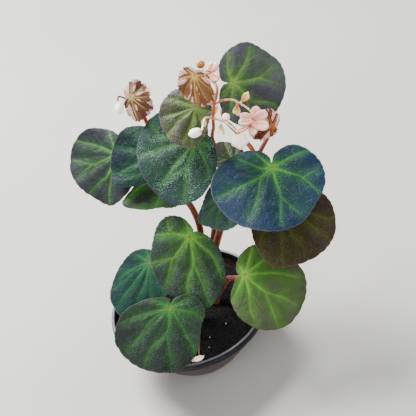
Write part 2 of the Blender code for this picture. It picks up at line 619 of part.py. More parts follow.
def make_cane(cane, leaves, soil):
    """A cane with its petioles. The cane stands in a plain hole in the soil."""
    route = [mm(point) for point in cane.route]
    steps = 2 * (len(route) - 1)
    axis = [curve_point(route, step / steps) for step in range(steps + 1)]
    axis = [point for point in axis if point.z > SOIL_TOP - ROOTED_DEPTH]
    radii = [cane.radius * MM * (1 - CANE_TAPER * step / len(axis)) for step in range(len(axis))]
    hole = [radius + HOLE_CLEARANCE for radius in radii[:3]]
    hole_axis = [axis[0] - UP * HOLE_CLEARANCE] + axis[1:3]
    subtract(soil, finish(cane.name + "_hole", tube(hole_axis, hole, CANE_SIDES, UP, UP), STEM_BROWN, 0.5))
    parts = [finish("stem", tube(axis, radii, CANE_SIDES, UP), STEM_BROWN, 0.5)]
    for leaf_name, place, points in cane.petioles:
        leaf = leaves[leaf_name]
        normal = plane_axes(leaf)[0]
        end = mm(leaf.hub) - normal * (0.5 * BLADE_THICKNESS + SEAT_GAP)
        bends = [curve_point(route, place)] + [mm(point) for point in points]
        bends += [end - normal * PETIOLE_APPROACH, end]
        stem = [curve_point(bends, step / PETIOLE_STEPS) for step in range(PETIOLE_STEPS + 1)]
        widths = [PETIOLE_FOOT + (PETIOLE_HEAD - PETIOLE_FOOT) * step / PETIOLE_STEPS
                  for step in range(PETIOLE_STEPS + 1)]
        parts.append(finish("petiole", tube(stem, widths, PETIOLE_SIDES, last_normal=normal), STEM_BROWN, 0.5))
    if cane.name == "cane_back":
        stub = [mm(point) for point in STUB]
        rise = mm(FLOWER_STEM[1]) - mm(FLOWER_STEM[0])
        parts.append(finish("stub", smooth_tube(stub, STUB_RADIUS, FLOWER_SIDES, last_normal=rise), STEM_BROWN,
                            0.5))
    if cane.name == "cane_left":
        parts.append(make_pedicel(*LEFT_SHOOT))
    return join(cane.name, parts, STEM_BROWN, 0.5)


def main():
    clear_scene()
    make_pot()
    soil = make_soil()
    leaves = {leaf.name: leaf for leaf in GREEN_LEAVES + YOUNG_LEAVES}
    for leaf in GREEN_LEAVES:
        make_blade(leaf, LEAF_GREEN)
    for leaf in YOUNG_LEAVES:
        make_blade(leaf, LEAF_BRONZE)
    for cane in CANES:
        make_cane(cane, leaves, soil)
    make_flower_stalk()
    for bloom in BLOOMS:
        make_bloom(bloom)
    for bud in BUDS:
        make_bud(bud)
    make_fallen_flower()


main()
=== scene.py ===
"""A potted begonia in soft studio light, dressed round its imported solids. Metres, +Z up, front at -Y."""

import math
from collections import namedtuple

import bmesh
import bpy
import numpy as np
from mathutils import Matrix, Vector, noise
from mathutils.kdtree import KDTree


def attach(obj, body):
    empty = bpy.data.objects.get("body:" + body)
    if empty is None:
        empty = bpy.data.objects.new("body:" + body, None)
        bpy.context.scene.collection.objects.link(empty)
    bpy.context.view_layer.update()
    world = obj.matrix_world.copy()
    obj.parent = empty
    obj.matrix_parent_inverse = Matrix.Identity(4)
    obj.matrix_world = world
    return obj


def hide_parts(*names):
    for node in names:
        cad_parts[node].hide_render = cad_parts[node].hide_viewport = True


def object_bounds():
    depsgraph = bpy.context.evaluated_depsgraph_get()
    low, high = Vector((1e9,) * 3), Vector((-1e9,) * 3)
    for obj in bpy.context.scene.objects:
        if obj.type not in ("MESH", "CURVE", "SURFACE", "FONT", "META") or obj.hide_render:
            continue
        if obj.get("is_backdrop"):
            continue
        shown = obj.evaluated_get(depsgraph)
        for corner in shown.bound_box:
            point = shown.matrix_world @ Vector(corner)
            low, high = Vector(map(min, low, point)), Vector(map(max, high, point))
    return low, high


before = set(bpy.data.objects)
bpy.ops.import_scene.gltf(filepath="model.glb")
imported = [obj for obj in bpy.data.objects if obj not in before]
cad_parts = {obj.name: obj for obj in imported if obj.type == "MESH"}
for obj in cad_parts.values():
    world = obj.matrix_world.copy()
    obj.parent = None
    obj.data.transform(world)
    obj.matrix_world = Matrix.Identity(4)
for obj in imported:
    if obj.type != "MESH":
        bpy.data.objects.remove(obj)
cad_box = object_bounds()

# Studio: the plant stands on a pale floor, in the middle of an even pale surround. A large soft light hangs
# above and behind it, a weaker one at the front left and the weakest at the right. The camera looks down on
# the plant and is rolled a little to the right.
MM = 0.001
CAMERA_PLACE = (33.4 * MM, -485.8 * MM, 557.7 * MM)
LOOK_DOWN = math.radians(41)
ROLL = math.radians(15)
LENS = 80.2
SENSOR = 36
VIEW_END = 50
FLOOR_HALF = 6
FLOOR_DROP = 0.2 * MM
# Each light: its name, its place and its width in metres, and its power in watts.
LIGHTS = (("light_above", (-0.45, 0.65, 1.2), 0.7, 54), ("light_front", (-0.6, -1.1, 0.9), 1.2, 17),
          ("light_right", (1.1, -0.2, 0.7), 0.9, 7))
LIGHT_AIM = Vector((0.03, 0, 0.11))
SURROUND_STRENGTH = 0.48
# Sockets of the Mix node that are known by number: the factor and the two colours.
FACTOR, FIRST, SECOND = 0, 6, 7


def paint(code):
    """A hex sRGB colour as linear RGBA."""
    shares = [int(code[place:place + 2], 16) / 255 for place in (0, 2, 4)]
    return [share / 12.92 if share <= 0.04045 else ((share + 0.055) / 1.055) ** 2.4 for share in shares] + [1]


def put(tree, kind, links=None, stops=None, **settings):
    """Add a node, or take one that is there, and give it its settings, inputs, links and colour stops. A
    node given as an input stands for the first of its outputs that is in use."""
    node = tree.nodes.new(kind) if isinstance(kind, str) else kind
    for name, value in settings.items():
        setattr(node, name, value)
    for name, value in (links or {}).items():
        if isinstance(value, bpy.types.Node):
            value = next(output for output in value.outputs if output.enabled)
        if isinstance(value, bpy.types.NodeSocket):
            tree.links.new(value, node.inputs[name])
        else:
            node.inputs[name].default_value = value
    if stops:
        ramp = node.color_ramp.elements
        while len(ramp) < len(stops):
            ramp.new(0.5)
        for stop, (place, colour) in zip(ramp, stops):
            stop.position = place
            stop.color = paint(colour)
    return node


def new_finish(name):
    """A new material, its node tree, its shader, and the place on the object that its patterns follow."""
    material = bpy.data.materials.new(name)
    material.use_nodes = True
    tree = material.node_tree
    tree.nodes.clear()
    shader = put(tree, "ShaderNodeBsdfPrincipled")
    put(tree, "ShaderNodeOutputMaterial", {"Surface": shader})
    return material, tree, shader, put(tree, "ShaderNodeTexCoord").outputs["Object"]


def new_piece(name, points, faces, material):
    """A smooth shaded mesh object at the origin, its place in its mesh."""
    mesh = bpy.data.meshes.new(name)
    mesh.from_pydata([tuple(point) for point in points], [], [tuple(face) for face in faces])
    mesh.update()
    mesh.shade_smooth()
    mesh.materials.append(material)
    piece = bpy.data.objects.new(name, mesh)
    bpy.context.scene.collection.objects.link(piece)
    return piece


lens = bpy.data.cameras.new("camera")
lens.lens = LENS
lens.sensor_width = SENSOR
lens.clip_end = VIEW_END
camera = bpy.data.objects.new("camera", lens)
camera.matrix_world = (Matrix.Translation(CAMERA_PLACE) @ Matrix.Rotation(math.pi / 2 - LOOK_DOWN, 4, "X")
                       @ Matrix.Rotation(-ROLL, 4, "Z"))
bpy.context.scene.collection.objects.link(camera)
bpy.context.scene.camera = camera

# Matt painted board: an even pale grey with the faintest mottle.
painted_board, tree, shader, spot = new_finish("painted_board")
mottle = put(tree, "ShaderNodeTexNoise", {"Vector": spot, "Scale": 6.0, "Detail": 3.0})
tone = put(tree, "ShaderNodeValToRGB", {"Fac": mottle}, stops=[(0.3, "a8a7a3"), (0.7, "acaba7")])
put(tree, shader, {"Base Color": tone, "Roughness": 0.85})
corners = [(x * FLOOR_HALF, y * FLOOR_HALF, -FLOOR_DROP) for x, y in ((-1, -1), (1, -1), (1, 1), (-1, 1))]
floor = new_piece("floor", corners, [(0, 1, 2, 3)], painted_board)
floor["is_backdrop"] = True

for name, place, size, watts in LIGHTS:
    panel = bpy.data.lights.new(name, "AREA")
    panel.size = size
    panel.energy = watts
    light = bpy.data.objects.new(name, panel)
    towards = (LIGHT_AIM - Vector(place)).to_track_quat("-Z", "Y").to_matrix().to_4x4()
    light.matrix_world = Matrix.Translation(place) @ towards
    bpy.context.scene.collection.objects.link(light)
surround = bpy.data.worlds.new("surround")
surround.use_nodes = True
put(surround.node_tree, surround.node_tree.nodes["Background"],
    {"Color": paint("e6e8ea"), "Strength": SURROUND_STRENGTH})
bpy.context.scene.world = surround
bpy.context.scene.view_settings.look = "AgX - Medium High Contrast"

# Pot: a shallow bowl of dark polypropylene, injection moulded in one piece with a turned-over lip and
# five drain holes. Handling has left it dusty and finely scuffed, and a painted highlight runs along the
# top of the lip.
RIM_RADIUS = 60 * MM
RIM_TOP = 48 * MM
LIP_DEPTH = 5.5 * MM
NECK = RIM_TOP - LIP_DEPTH
NECK_RADIUS = 56.6 * MM
FOOT_RADIUS = 30 * MM
FOOT_BEVEL = ((-0.5, 0), (0.1, 0.35))
WALL = 1.6 * MM
WALL_CURVE = 0.8
POT_SIDES = 160
WALL_STEPS = 26
DRAIN_RADIUS = 2.5 * MM
DRAIN_CIRCLE = 17 * MM
DRAIN_COUNT = 5
DRAIN_SIDES = 32
DRILL_LENGTH = 10 * MM
SHARP_ANGLE = math.radians(50)
# The lip from the groove under it, over a bulged band and a rounded top to a rounded inner edge: mm in from
# the rim and mm down from its top.
LIP = ((3.9, 5.4), (3.9, 4.9), (3.3, 4.95), (1.2, 6.0), (0.5, 6.0), (0.12, 5.5), (0, 4.5), (0, 3), (0.1, 1.6),
       (0.3, 0.9), (0.7, 0.3), (1.2, 0.02), (1.8, 0), (2.4, 0.15), (2.9, 0.6), (3.2, 1.3), (3.6, 2.6))


def wall_radius(height):
    """Outer radius of the pot's wall."""
    return FOOT_RADIUS + (NECK_RADIUS - FOOT_RADIUS) * (max(height, 0) / NECK) ** WALL_CURVE


def shell_faces(rings, sides, first=0):
    """Faces of a closed shell whose points run from a first point through its rings to a last point."""
    faces = []
    last = first + 1 + rings * sides
    for number in range(sides):
        after = (number + 1) % sides
        faces.append((first, first + 1 + number, first + 1 + after))
        for ring in range(rings - 1):
            near = first + 1 + ring * sides
            far = near + sides
            faces.append((near + number, far + number, far + after, near + after))
        faces.append((last, last - sides + after, last - sides + number))
    return faces


def plain_mesh(piece):
    """What a piece and its modifiers make together, as a mesh."""
    bpy.context.view_layer.update()
    return bpy.data.meshes.new_from_object(piece.evaluated_get(bpy.context.evaluated_depsgraph_get()))


# Dark moulded polypropylene: a waxy grey-black with soft highlights, dusty low down, scuffed pale on
# the lip, with a painted highlight along the lip's top. IOR 1.49. The scuffs are 2 mm long, drawn wider
# than the real hair-fine ones so they show.
moulded_polypropylene, tree, shader, spot = new_finish("moulded_polypropylene")
dust = put(tree, "ShaderNodeTexNoise", {"Vector": spot, "Scale": 1 / 0.011, "Detail": 6.0, "Roughness": 0.65})
stretched = put(tree, "ShaderNodeMapping", {"Vector": spot, "Scale": (160, 160, 900)})
scuff = put(tree, "ShaderNodeTexNoise", {"Vector": stretched, "Scale": 1.0, "Detail": 4.0})
height = put(tree, "ShaderNodeSeparateXYZ", {"Vector": spot}).outputs["Z"]
near_rim = put(tree, "ShaderNodeMapRange", {"Value": height, "From Min": NECK - 0.6 * MM,
                                            "From Max": NECK + 2 * MM})
dusty = put(tree, "ShaderNodeValToRGB", {"Fac": dust},
            stops=[(0.35, "3a2824"), (0.6, "4c3631"), (0.75, "614a3f")])
scuffed = put(tree, "ShaderNodeValToRGB", {"Fac": scuff},
              stops=[(0.35, "17191c"), (0.6, "23252a"), (0.78, "484c52")])
tone = put(tree, "ShaderNodeMix", {FACTOR: near_rim, FIRST: dusty, SECOND: scuffed}, data_type="RGBA")
# Painted highlight: the top of the lip is mixed up to 40 % towards pale grey.
painted_highlight = put(tree, "ShaderNodeMapRange", {"Value": height, "From Min": RIM_TOP - 0.5 * MM,
                                          "From Max": RIM_TOP - 0.1 * MM, "To Max": 0.4})
tone = put(tree, "ShaderNodeMix", {FACTOR: painted_highlight, FIRST: tone, SECOND: paint("929599")}, data_type="RGBA")
sheen = put(tree, "ShaderNodeMapRange", {"Value": dust, "To Min": 0.18, "To Max": 0.42})
grain = put(tree, "ShaderNodeBump", {"Strength": 0.25, "Distance": 0.2 * MM, "Height": scuff})
put(tree, shader, {"Base Color": tone, "Roughness": sheen, "IOR": 1.49, "Specular IOR Level": 0.25,
                   "Normal": grain})

# The wall's half section, from the middle of the underside up the outside, over the lip and down the inside.
heights = [NECK * step / WALL_STEPS for step in range(1, WALL_STEPS)]
section = [(0, 0)] + [(FOOT_RADIUS + out * MM, up * MM) for out, up in FOOT_BEVEL]
section += [(wall_radius(height), height) for height in heights]
section += [(RIM_RADIUS - inset * MM, RIM_TOP - drop * MM) for inset, drop in LIP]
section += [(wall_radius(height) - WALL, height) for height in reversed(heights) if height > WALL + 0.5 * MM]
section += [(FOOT_RADIUS - 1 * MM, WALL + 0.2 * MM), (FOOT_RADIUS - 2 * MM, WALL), (0, WALL)]
points = [(0, 0, WALL)]
for radius, height in reversed(section[1:-1]):
    for number in range(POT_SIDES):
        turn = 2 * math.pi * number / POT_SIDES
        points.append((radius * math.cos(turn), radius * math.sin(turn), height))
points.append((0, 0, 0))
pot = new_piece("pot_shell", points, shell_faces(len(section) - 2, POT_SIDES), moulded_polypropylene)
drill = bmesh.new()
for number in range(DRAIN_COUNT):
    turn = 2 * math.pi * number / DRAIN_COUNT
    place = Matrix.Translation((DRAIN_CIRCLE * math.cos(turn), DRAIN_CIRCLE * math.sin(turn), 0))
    bmesh.ops.create_cone(drill, cap_ends=True, segments=DRAIN_SIDES, radius1=DRAIN_RADIUS,
                          radius2=DRAIN_RADIUS, depth=DRILL_LENGTH, matrix=place)
drill_mesh = bpy.data.meshes.new("drill")
drill.to_mesh(drill_mesh)
drill.free()
drill_piece = bpy.data.objects.new("drill", drill_mesh)
bpy.context.scene.collection.objects.link(drill_piece)
cut = pot.modifiers.new("drains", "BOOLEAN")
cut.operation = "DIFFERENCE"
cut.object = drill_piece
drilled = plain_mesh(pot)
pot.modifiers.clear()
pot.data = drilled
bpy.data.objects.remove(drill_piece, do_unlink=True)
pot.data.shade_smooth()
pot.data.set_sharp_from_angle(angle=SHARP_ANGLE)
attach(pot, "root")
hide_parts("pot")

# Potting mix: nearly black peat with fine bark crumbs and a few white grains of perlite. It was pressed
# in by hand, so its top is uneven, and it fills the pot right down to the floor.
SOIL_TOP = 39.5 * MM
SOIL_CROWN = 1.5 * MM
SOIL_UNEVEN = 0.7 * MM
SOIL_LUMP = 21 * MM
SOIL_CLEARANCE = 0.5 * MM
SOIL_RINGS = 70
SOIL_WALL_STEPS = 12
SOIL_SIDES = 180
CRUMB_RELIEF = 0.9 * MM
CRUMB_SPACING = 3.2 * MM
CRUMB_SIZE = 0.85 * MM
CRUMBS_PER_SQUARE_METRE = 260000.0
PERLITE_PORE = 0.7 * MM
# Grains of perlite: x, y and radius in mm.
PERLITE = ((10, -32, 0.5), (8, -41, 0.4), (24, -23, 0.55), (26, -49, 0.45), (3, -47, 0.35), (-31, -28, 0.5),
           (39, 21, 0.4), (-20, 38, 0.5), (-42, 5, 0.4), (31, 40, 0.45), (-8, -22, 0.35), (47, -14, 0.4))


def soil_height(x, y):
    """Height of the mix as it was pressed, without its crumbs."""
    far = math.hypot(x, y) / RIM_RADIUS
    lumps = math.sin(x / SOIL_LUMP * math.pi + 1.3) * math.cos(y / SOIL_LUMP * math.pi - 0.4)
    return SOIL_TOP + SOIL_CROWN * (1 - far ** 2) + SOIL_UNEVEN * lumps


def crumbly(x, y):
    """Height of the mix with its coarse crumbs."""
    rough = noise.fractal(Vector((x, y, 0)) / CRUMB_SPACING, 0.7, 2.1, 4)
    return soil_height(x, y) + CRUMB_RELIEF * max(-0.6, rough)


def new_tree(name, **inputs):
    """A geometry tree, the sockets of its named inputs, and its output node."""
    tree = bpy.data.node_groups.new(name, "GeometryNodeTree")
    tree.interface.new_socket("Geometry", in_out="OUTPUT", socket_type="NodeSocketGeometry")
    tree.interface.new_socket("Geometry", in_out="INPUT", socket_type="NodeSocketGeometry")
    for label, kind in inputs.items():
        tree.interface.new_socket(label, in_out="INPUT", socket_type=kind)
    return tree, put(tree, "NodeGroupInput").outputs, put(tree, "NodeGroupOutput")


def grown(name, host, tree, sizes):
    """What a geometry tree grows on a piece, as a plain mesh piece of its own."""
    growth = host.modifiers.new("growth", "NODES")
    growth.node_group = tree
    for socket in tree.interface.items_tree:
        if socket.in_out == "INPUT" and socket.name in sizes:
            growth[socket.identifier] = sizes[socket.name]
    mesh = plain_mesh(host)
    host.modifiers.remove(growth)
    mesh.name = name
    piece = bpy.data.objects.new(name, mesh)
    bpy.context.scene.collection.objects.link(piece)
    return piece


# Damp peat: a matt brown-black, its crumbs catching a little grey light, with fine paler fibres.
damp_peat, tree, shader, spot = new_finish("damp_peat")
crumb = put(tree, "ShaderNodeTexNoise", {"Vector": spot, "Scale": 1 / 0.0022, "Detail": 5.0,
                                         "Roughness": 0.7})
tone = put(tree, "ShaderNodeValToRGB", {"Fac": crumb},
           stops=[(0.3, "060608"), (0.55, "0e0d10"), (0.7, "1b191b"), (0.85, "342f2d")])
relief = put(tree, "ShaderNodeBump", {"Strength": 0.7, "Distance": 0.6 * MM, "Height": crumb})
put(tree, shader, {"Base Color": tone, "Roughness": 0.92, "Normal": relief})

# Bark crumb: dull brown splinters, a little paler than the peat.
bark_crumb, tree, shader, spot = new_finish("bark_crumb")
crumb = put(tree, "ShaderNodeTexNoise", {"Vector": spot, "Scale": 1 / 0.003, "Detail": 4.0})
tone = put(tree, "ShaderNodeValToRGB", {"Fac": crumb},
           stops=[(0.35, "0b0909"), (0.55, "191412"), (0.72, "3d3128")])
put(tree, shader, {"Base Color": tone, "Roughness": 0.9})

# Perlite: bright white, matt, with fine pores.
perlite_grain, tree, shader, spot = new_finish("perlite_grain")
pores = put(tree, "ShaderNodeTexVoronoi", {"Vector": spot, "Scale": 1 / 0.0004})
tone = put(tree, "ShaderNodeValToRGB", {"Fac": pores}, stops=[(0.0, "a9a49b"), (0.5, "e4e1da")])
put(tree, shader, {"Base Color": tone, "Roughness": 0.8})

soil_rim = wall_radius(SOIL_TOP) - WALL - SOIL_CLEARANCE
points = [(0, 0, crumbly(0, 0))]
levels = [(soil_rim * ring / SOIL_RINGS, None) for ring in range(1, SOIL_RINGS + 1)]
heights = [NECK * step / SOIL_WALL_STEPS for step in range(SOIL_WALL_STEPS - 2, 0, -1)]
levels += [(wall_radius(height) - WALL - SOIL_CLEARANCE, height) for height in heights]
levels += [(FOOT_RADIUS - 2.1 * MM, WALL + SOIL_CLEARANCE)]
for radius, level in levels:
    for number in range(SOIL_SIDES):
        turn = 2 * math.pi * number / SOIL_SIDES
        x, y = radius * math.cos(turn), radius * math.sin(turn)
        points.append((x, y, crumbly(x, y) if level is None else level))
points.append((0, 0, WALL + SOIL_CLEARANCE))
mix = new_piece("potting_mix", points, shell_faces(len(levels), SOIL_SIDES), damp_peat)

# Crumbs are strewn wherever the mix faces up, each a lump of its own size and turn.
tree, given, out = new_tree("crumbs", Density="NodeSocketFloat", Size="NodeSocketFloat", Seed="NodeSocketInt")
up = put(tree, "ShaderNodeSeparateXYZ", {"Vector": put(tree, "GeometryNodeInputNormal")}).outputs["Z"]
on_top = put(tree, "FunctionNodeCompare", {"A": up, "B": 0.2}, data_type="FLOAT", operation="GREATER_THAN")
strewn = put(tree, "GeometryNodeDistributePointsOnFaces",
             {"Mesh": given["Geometry"], "Density": given["Density"], "Seed": given["Seed"],
              "Selection": on_top})
lump = put(tree, "GeometryNodeMeshIcoSphere", {"Radius": given["Size"], "Subdivisions": 1})
turns = put(tree, "FunctionNodeRandomValue", {0: (0, 0, 0), 1: (6, 6, 6), "Seed": 5},
            data_type="FLOAT_VECTOR")
turned = put(tree, "FunctionNodeEulerToRotation", {"Euler": turns})
sizes = put(tree, "FunctionNodeRandomValue", {0: (0.3, 0.25, 0.2), 1: (1.3, 0.9, 0.7), "Seed": 9},
            data_type="FLOAT_VECTOR")
placed = put(tree, "GeometryNodeInstanceOnPoints",
             {"Points": strewn, "Instance": lump, "Rotation": turned, "Scale": sizes})
real = put(tree, "GeometryNodeRealizeInstances", {"Geometry": placed})
put(tree, out, {"Geometry": put(tree, "GeometryNodeSetMaterial", {"Geometry": real, "Material": bark_crumb})})
crumbs = grown("bark_crumbs", mix, tree, {"Density": CRUMBS_PER_SQUARE_METRE, "Size": CRUMB_SIZE, "Seed": 3})

points = []
faces = []
for number, (x, y, size) in enumerate(PERLITE):
    x, y, size = x * MM, y * MM, size * MM
    grain = bmesh.new()
    bmesh.ops.create_icosphere(grain, subdivisions=3, radius=size)
    first = len(points)
    for vert in grain.verts:
        bumps = 1 + 0.35 * noise.noise(vert.co / PERLITE_PORE + Vector((number * 7, 0, 0)))
        points.append(vert.co * bumps + Vector((x, y, crumbly(x, y) + 0.35 * size)))
    faces += [[first + vert.index for vert in face.verts] for face in grain.faces]
    grain.free()
perlite = new_piece("perlite", points, faces, perlite_grain)
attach(mix, "root")
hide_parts("soil")
for bits in (crumbs, perlite):
    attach(bits, "root")

# Leaves: fleshy one-piece blades, each on its petiole, ribbed by main veins that fork on the way out. The
# blade swells between the veins, is pebbled all over, and thins to a scalloped edge.
REACH_STEP = 24
NOTCH = 4.5 * MM
FULL_REACH = 48
EDGE_WAVES = 5
BLADE_SIDES = 256
TOP_RINGS = 44
UNDER_RINGS = 10
RIDGE_SIDES = 8
BLADE_HALF = 0.3 * MM
EDGE_INSET = 0.45 * MM
EDGE_LINE = 0.42 * MM
PAD_SPOT = 0.7 * MM
FLAT_HEART = 9 * MM
# How much of the solid's fold is kept, and how deep the fold lies where the veins run.
FOLD_KEPT = 0.25
FOLD_REST = 0.24
FOLD_MEAN = 0.64
# Ranks of veins, which set how strongly they are drawn, and how the side veins leave the others.
RIB, FORK, SIDE_VEIN = 1.0, 0.75, 0.34
RIBS_APART = 22
SIDE_VEIN_LEAN = math.radians(42)
SIDE_VEIN_PLACES = (7, 10, 13, 16)
SHORTEST_WITH_SIDES = 11 * MM
LEAF_SCALLOPS, LEAF_SCALLOP_DEPTH, LEAF_GLOSS = 40, 0.5 * MM, 0.48

# A blade's plane, outline and main rise are those of its solid: hub, azimuth and elevation that it faces,
# the notch's direction, the reach every 24 degrees, main veins, dome, fold and wave. ribs and forks are the
# veins as seen, each a line of (degrees from the notch, mm from the hub); a fork starts on a rib.
Leaf = namedtuple("Leaf", "name hub faces sinus reach veins dome fold wave ribs forks")
LEAVES = (
    Leaf("leaf_back_right", (74, 69, 184), (-80, 48), 159,
         (8, 13, 20, 28, 35, 37, 38, 39, 39, 35, 33, 26, 19, 13, 9),
         (43, 82, 124, 152, 192, 240, 285), 3, 2.5, 1.2,
         (((290, 10), (278, 23)), ((238, 10), (239, 19), (244, 30)), ((192, 19), (205, 34)),
          ((135, 11), (136, 19), (152, 30), (152, 36)), ((82, 12),), ((43, 8),)),
         (((192, 19), (179, 33)), ((135, 11), (120, 25)))),
    Leaf("leaf_back_left", (43, 39, 193), (-100, 50), 49,
         (9, 12, 16, 21, 24, 27, 28, 29, 29, 22, 15.5, 13, 12, 11, 9),
         (60, 100, 136, 162, 193, 232, 285), 5, 5, 1.5,
         (((139, 14), (134, 23)), ((155, 13), (163, 21), (166, 26)), ((201, 12), (195, 18), (188, 25)),
          ((205, 26),), ((232, 15),)), ()),
    Leaf("leaf_upper_left", (37, 35, 168), (-95, 52), 36,
         (8, 12, 20, 31, 38, 42, 44, 46, 48, 41, 28, 20, 15, 12, 9),
         (45, 85, 118, 144, 182, 211, 245, 300), 3, 3, 1.5,
         (((141, 18), (144, 32), (145, 40)), ((124, 23), (113, 32)), ((205, 19), (210, 32), (212, 43)),
          ((249, 5), (247, 19), (243, 28))),
         (((205, 19), (183, 38), (182, 43)),)),
    Leaf("leaf_left_inner", (10, 54, 150), (-110, 52), 35,
         (8, 11, 16, 26, 36, 39, 41, 41, 25, 18, 15, 13, 12, 10, 8),
         (60, 100, 131, 163, 200, 250, 300), 3, 3, 1.5,
         (((131, 23), (132, 36)), ((186, 21), (163, 38)), ((100, 30),)), ()),
    Leaf("leaf_left_under", (12, 49, 129), (-100, 60), 41,
         (8, 10, 12, 14, 18, 25, 41, 31, 23, 22, 21, 18, 15, 12, 9),
         (60, 105, 148, 190, 235, 290), 3, 2.5, 1.5,
         (((139, 20), (151, 32), (153, 40)),), ()),
    Leaf("leaf_left_outer", (-22, 76, 144), (-120, 50), 42,
         (8, 11, 17, 24, 35, 42, 43, 40, 38, 39, 32, 24, 16, 11, 8),
         (79, 124, 147, 170, 198, 225, 280), 3, 3, 1.8,
         (((121, 19), (126, 39)), ((164, 15), (162, 22), (147, 40)), ((209, 18), (200, 24), (196, 36)),
          ((222, 27), (225, 37)), ((79, 13),)),
         (((162, 22), (170, 37)),)),
    Leaf("leaf_right_upper", (83, 7, 150), (-88, 66), 73,
         (9, 17, 26, 36, 45, 47, 48, 48, 46, 41, 39, 35, 29, 22, 12),
         (44, 77, 120, 157, 188, 210, 239, 269, 298), 3, 3, 1.5,
         (((135, 10), (122, 30), (119, 44)), ((196, 12), (195, 23), (188, 42)),
          ((250, 15), (249, 23), (239, 38)), ((301, 13), (300, 22), (297, 28)), ((95, 7), (77, 16), (72, 25)),
          ((44, 10),)),
         (((135, 10), (158, 29), (157, 42)), ((195, 23), (210, 42)), ((249, 23), (269, 32)))),
    Leaf("leaf_right_middle", (86, -3, 124), (-75, 62), 75,
         (9, 12, 16, 21, 28, 37, 47, 46, 44, 41, 35, 29, 22, 14, 9),
         (60, 100, 137, 164, 189, 218, 240, 290), 4, 3, 1.8,
         (((133, 26), (139, 37)), ((162, 23), (164, 44)), ((177, 22), (186, 30), (190, 39)),
          ((217, 21), (217, 30), (219, 42)), ((237, 29), (240, 36))), ()),
    Leaf("leaf_right_low", (46, -32, 95), (-70, 50), 151,
         (6, 10, 21, 32, 41, 47, 47, 45, 37, 29, 23, 16, 11, 8, 6),
         (63, 100, 123, 150, 178, 217, 252, 300), 4, 2.5, 1.2,
         (((252, 18),), ((217, 14), (217, 19)), ((183, 22), (178, 40)), ((140, 18), (150, 32), (150, 42)),
          ((102, 12), (98, 23), (101, 34)), ((63, 14),)),
         (((140, 18), (126, 35), (123, 44)),)),
    Leaf("leaf_under_bloom", (60, 42, 134), (-85, 62), -54,
         (6, 8, 10, 12, 15, 18, 22, 20, 16, 13, 11, 9, 8, 7, 6),
         (70, 117, 148, 190, 235, 290), 2, 2, 1, (((148, 11),), ((190, 10),), ((117, 10),)), ()),
    Leaf("leaf_middle_small", (45, 12, 132), (-100, 58), 38,
         (8, 10, 11, 12, 12, 13, 16, 25, 24, 25, 24, 21, 17, 13, 9),
         (70, 120, 160, 189, 213, 241, 290), 3, 2, 1.2, (((189, 19),), ((213, 19),), ((241, 21),)), ()),
    Leaf("leaf_front_middle", (16, 2, 112), (-95, 48), 44,
         (6, 9, 16, 23, 26, 28, 34, 41, 47, 53, 41, 26, 15, 9, 6),
         (55, 91, 119, 158, 185, 212, 231, 256, 300), 4, 3, 1.5,
         (((116, 14), (121, 21)), ((55, 14),), ((176, 15), (175, 20), (159, 33)),
          ((221, 19), (212, 30), (211, 45)), ((263, 10), (263, 21), (254, 33)), ((110, 14), (91, 20))),
         (((175, 20), (188, 39)), ((221, 19), (229, 35), (230, 49)))),
    Leaf("leaf_front_left", (-18, 6, 95), (-105, 50), 38,
         (7, 9, 10, 12, 15, 19, 27, 40, 46, 37, 30, 24, 17, 12, 8),
         (60, 110, 145, 173, 191, 213, 233, 257, 300), 3, 3, 1.5,
         (((164, 20), (173, 34)), ((192, 14), (191, 28)), ((220, 14), (211, 26), (213, 41)),
          ((231, 24), (235, 30)), ((255, 23),)), ()),
    Leaf("leaf_front_low", (-11, -34, 84), (-98, 58), 69,
         (7, 9, 12, 20, 35, 46, 47, 46, 44, 36, 27, 26, 22, 15, 8),
         (70, 117, 146, 168, 195, 224, 268, 310), 4, 3, 1.5,
         (((137, 16), (146, 31), (146, 41)), ((188, 17), (168, 30), (168, 41)),
          ((230, 8), (225, 27), (224, 36)), ((272, 16), (268, 22)), ((115, 22), (118, 36))),
         (((188, 17), (193, 30), (195, 41)),)),
)
YOUNG_LEAVES = (
    Leaf("young_leaf_left", (1, 67, 196), (-100, 45), 171,
         (5, 7, 9, 14, 19, 18, 18, 15, 15, 14, 14, 12, 9, 7, 5),
         (60, 105, 140, 180, 225, 270), 3, 2, 2, (), ()),
    Leaf("young_leaf_top", (47, 26, 226), (-95, 45), 74,
         (6, 8, 10, 11, 12, 14, 16, 18, 22, 21, 12, 8, 7, 6, 5),
         (50, 100, 150, 185, 210, 235, 280), 4, 2.5, 1.5, (), ()),
    Leaf("young_leaf_right", (92, 35, 163), (-90, 44), -10,
         (5, 8, 11, 13, 14, 15, 17, 17, 17, 13, 9, 7, 6, 5, 4),
         (60, 105, 150, 180, 215, 260, 300), 2, 2, 1.5, (), ()),
)
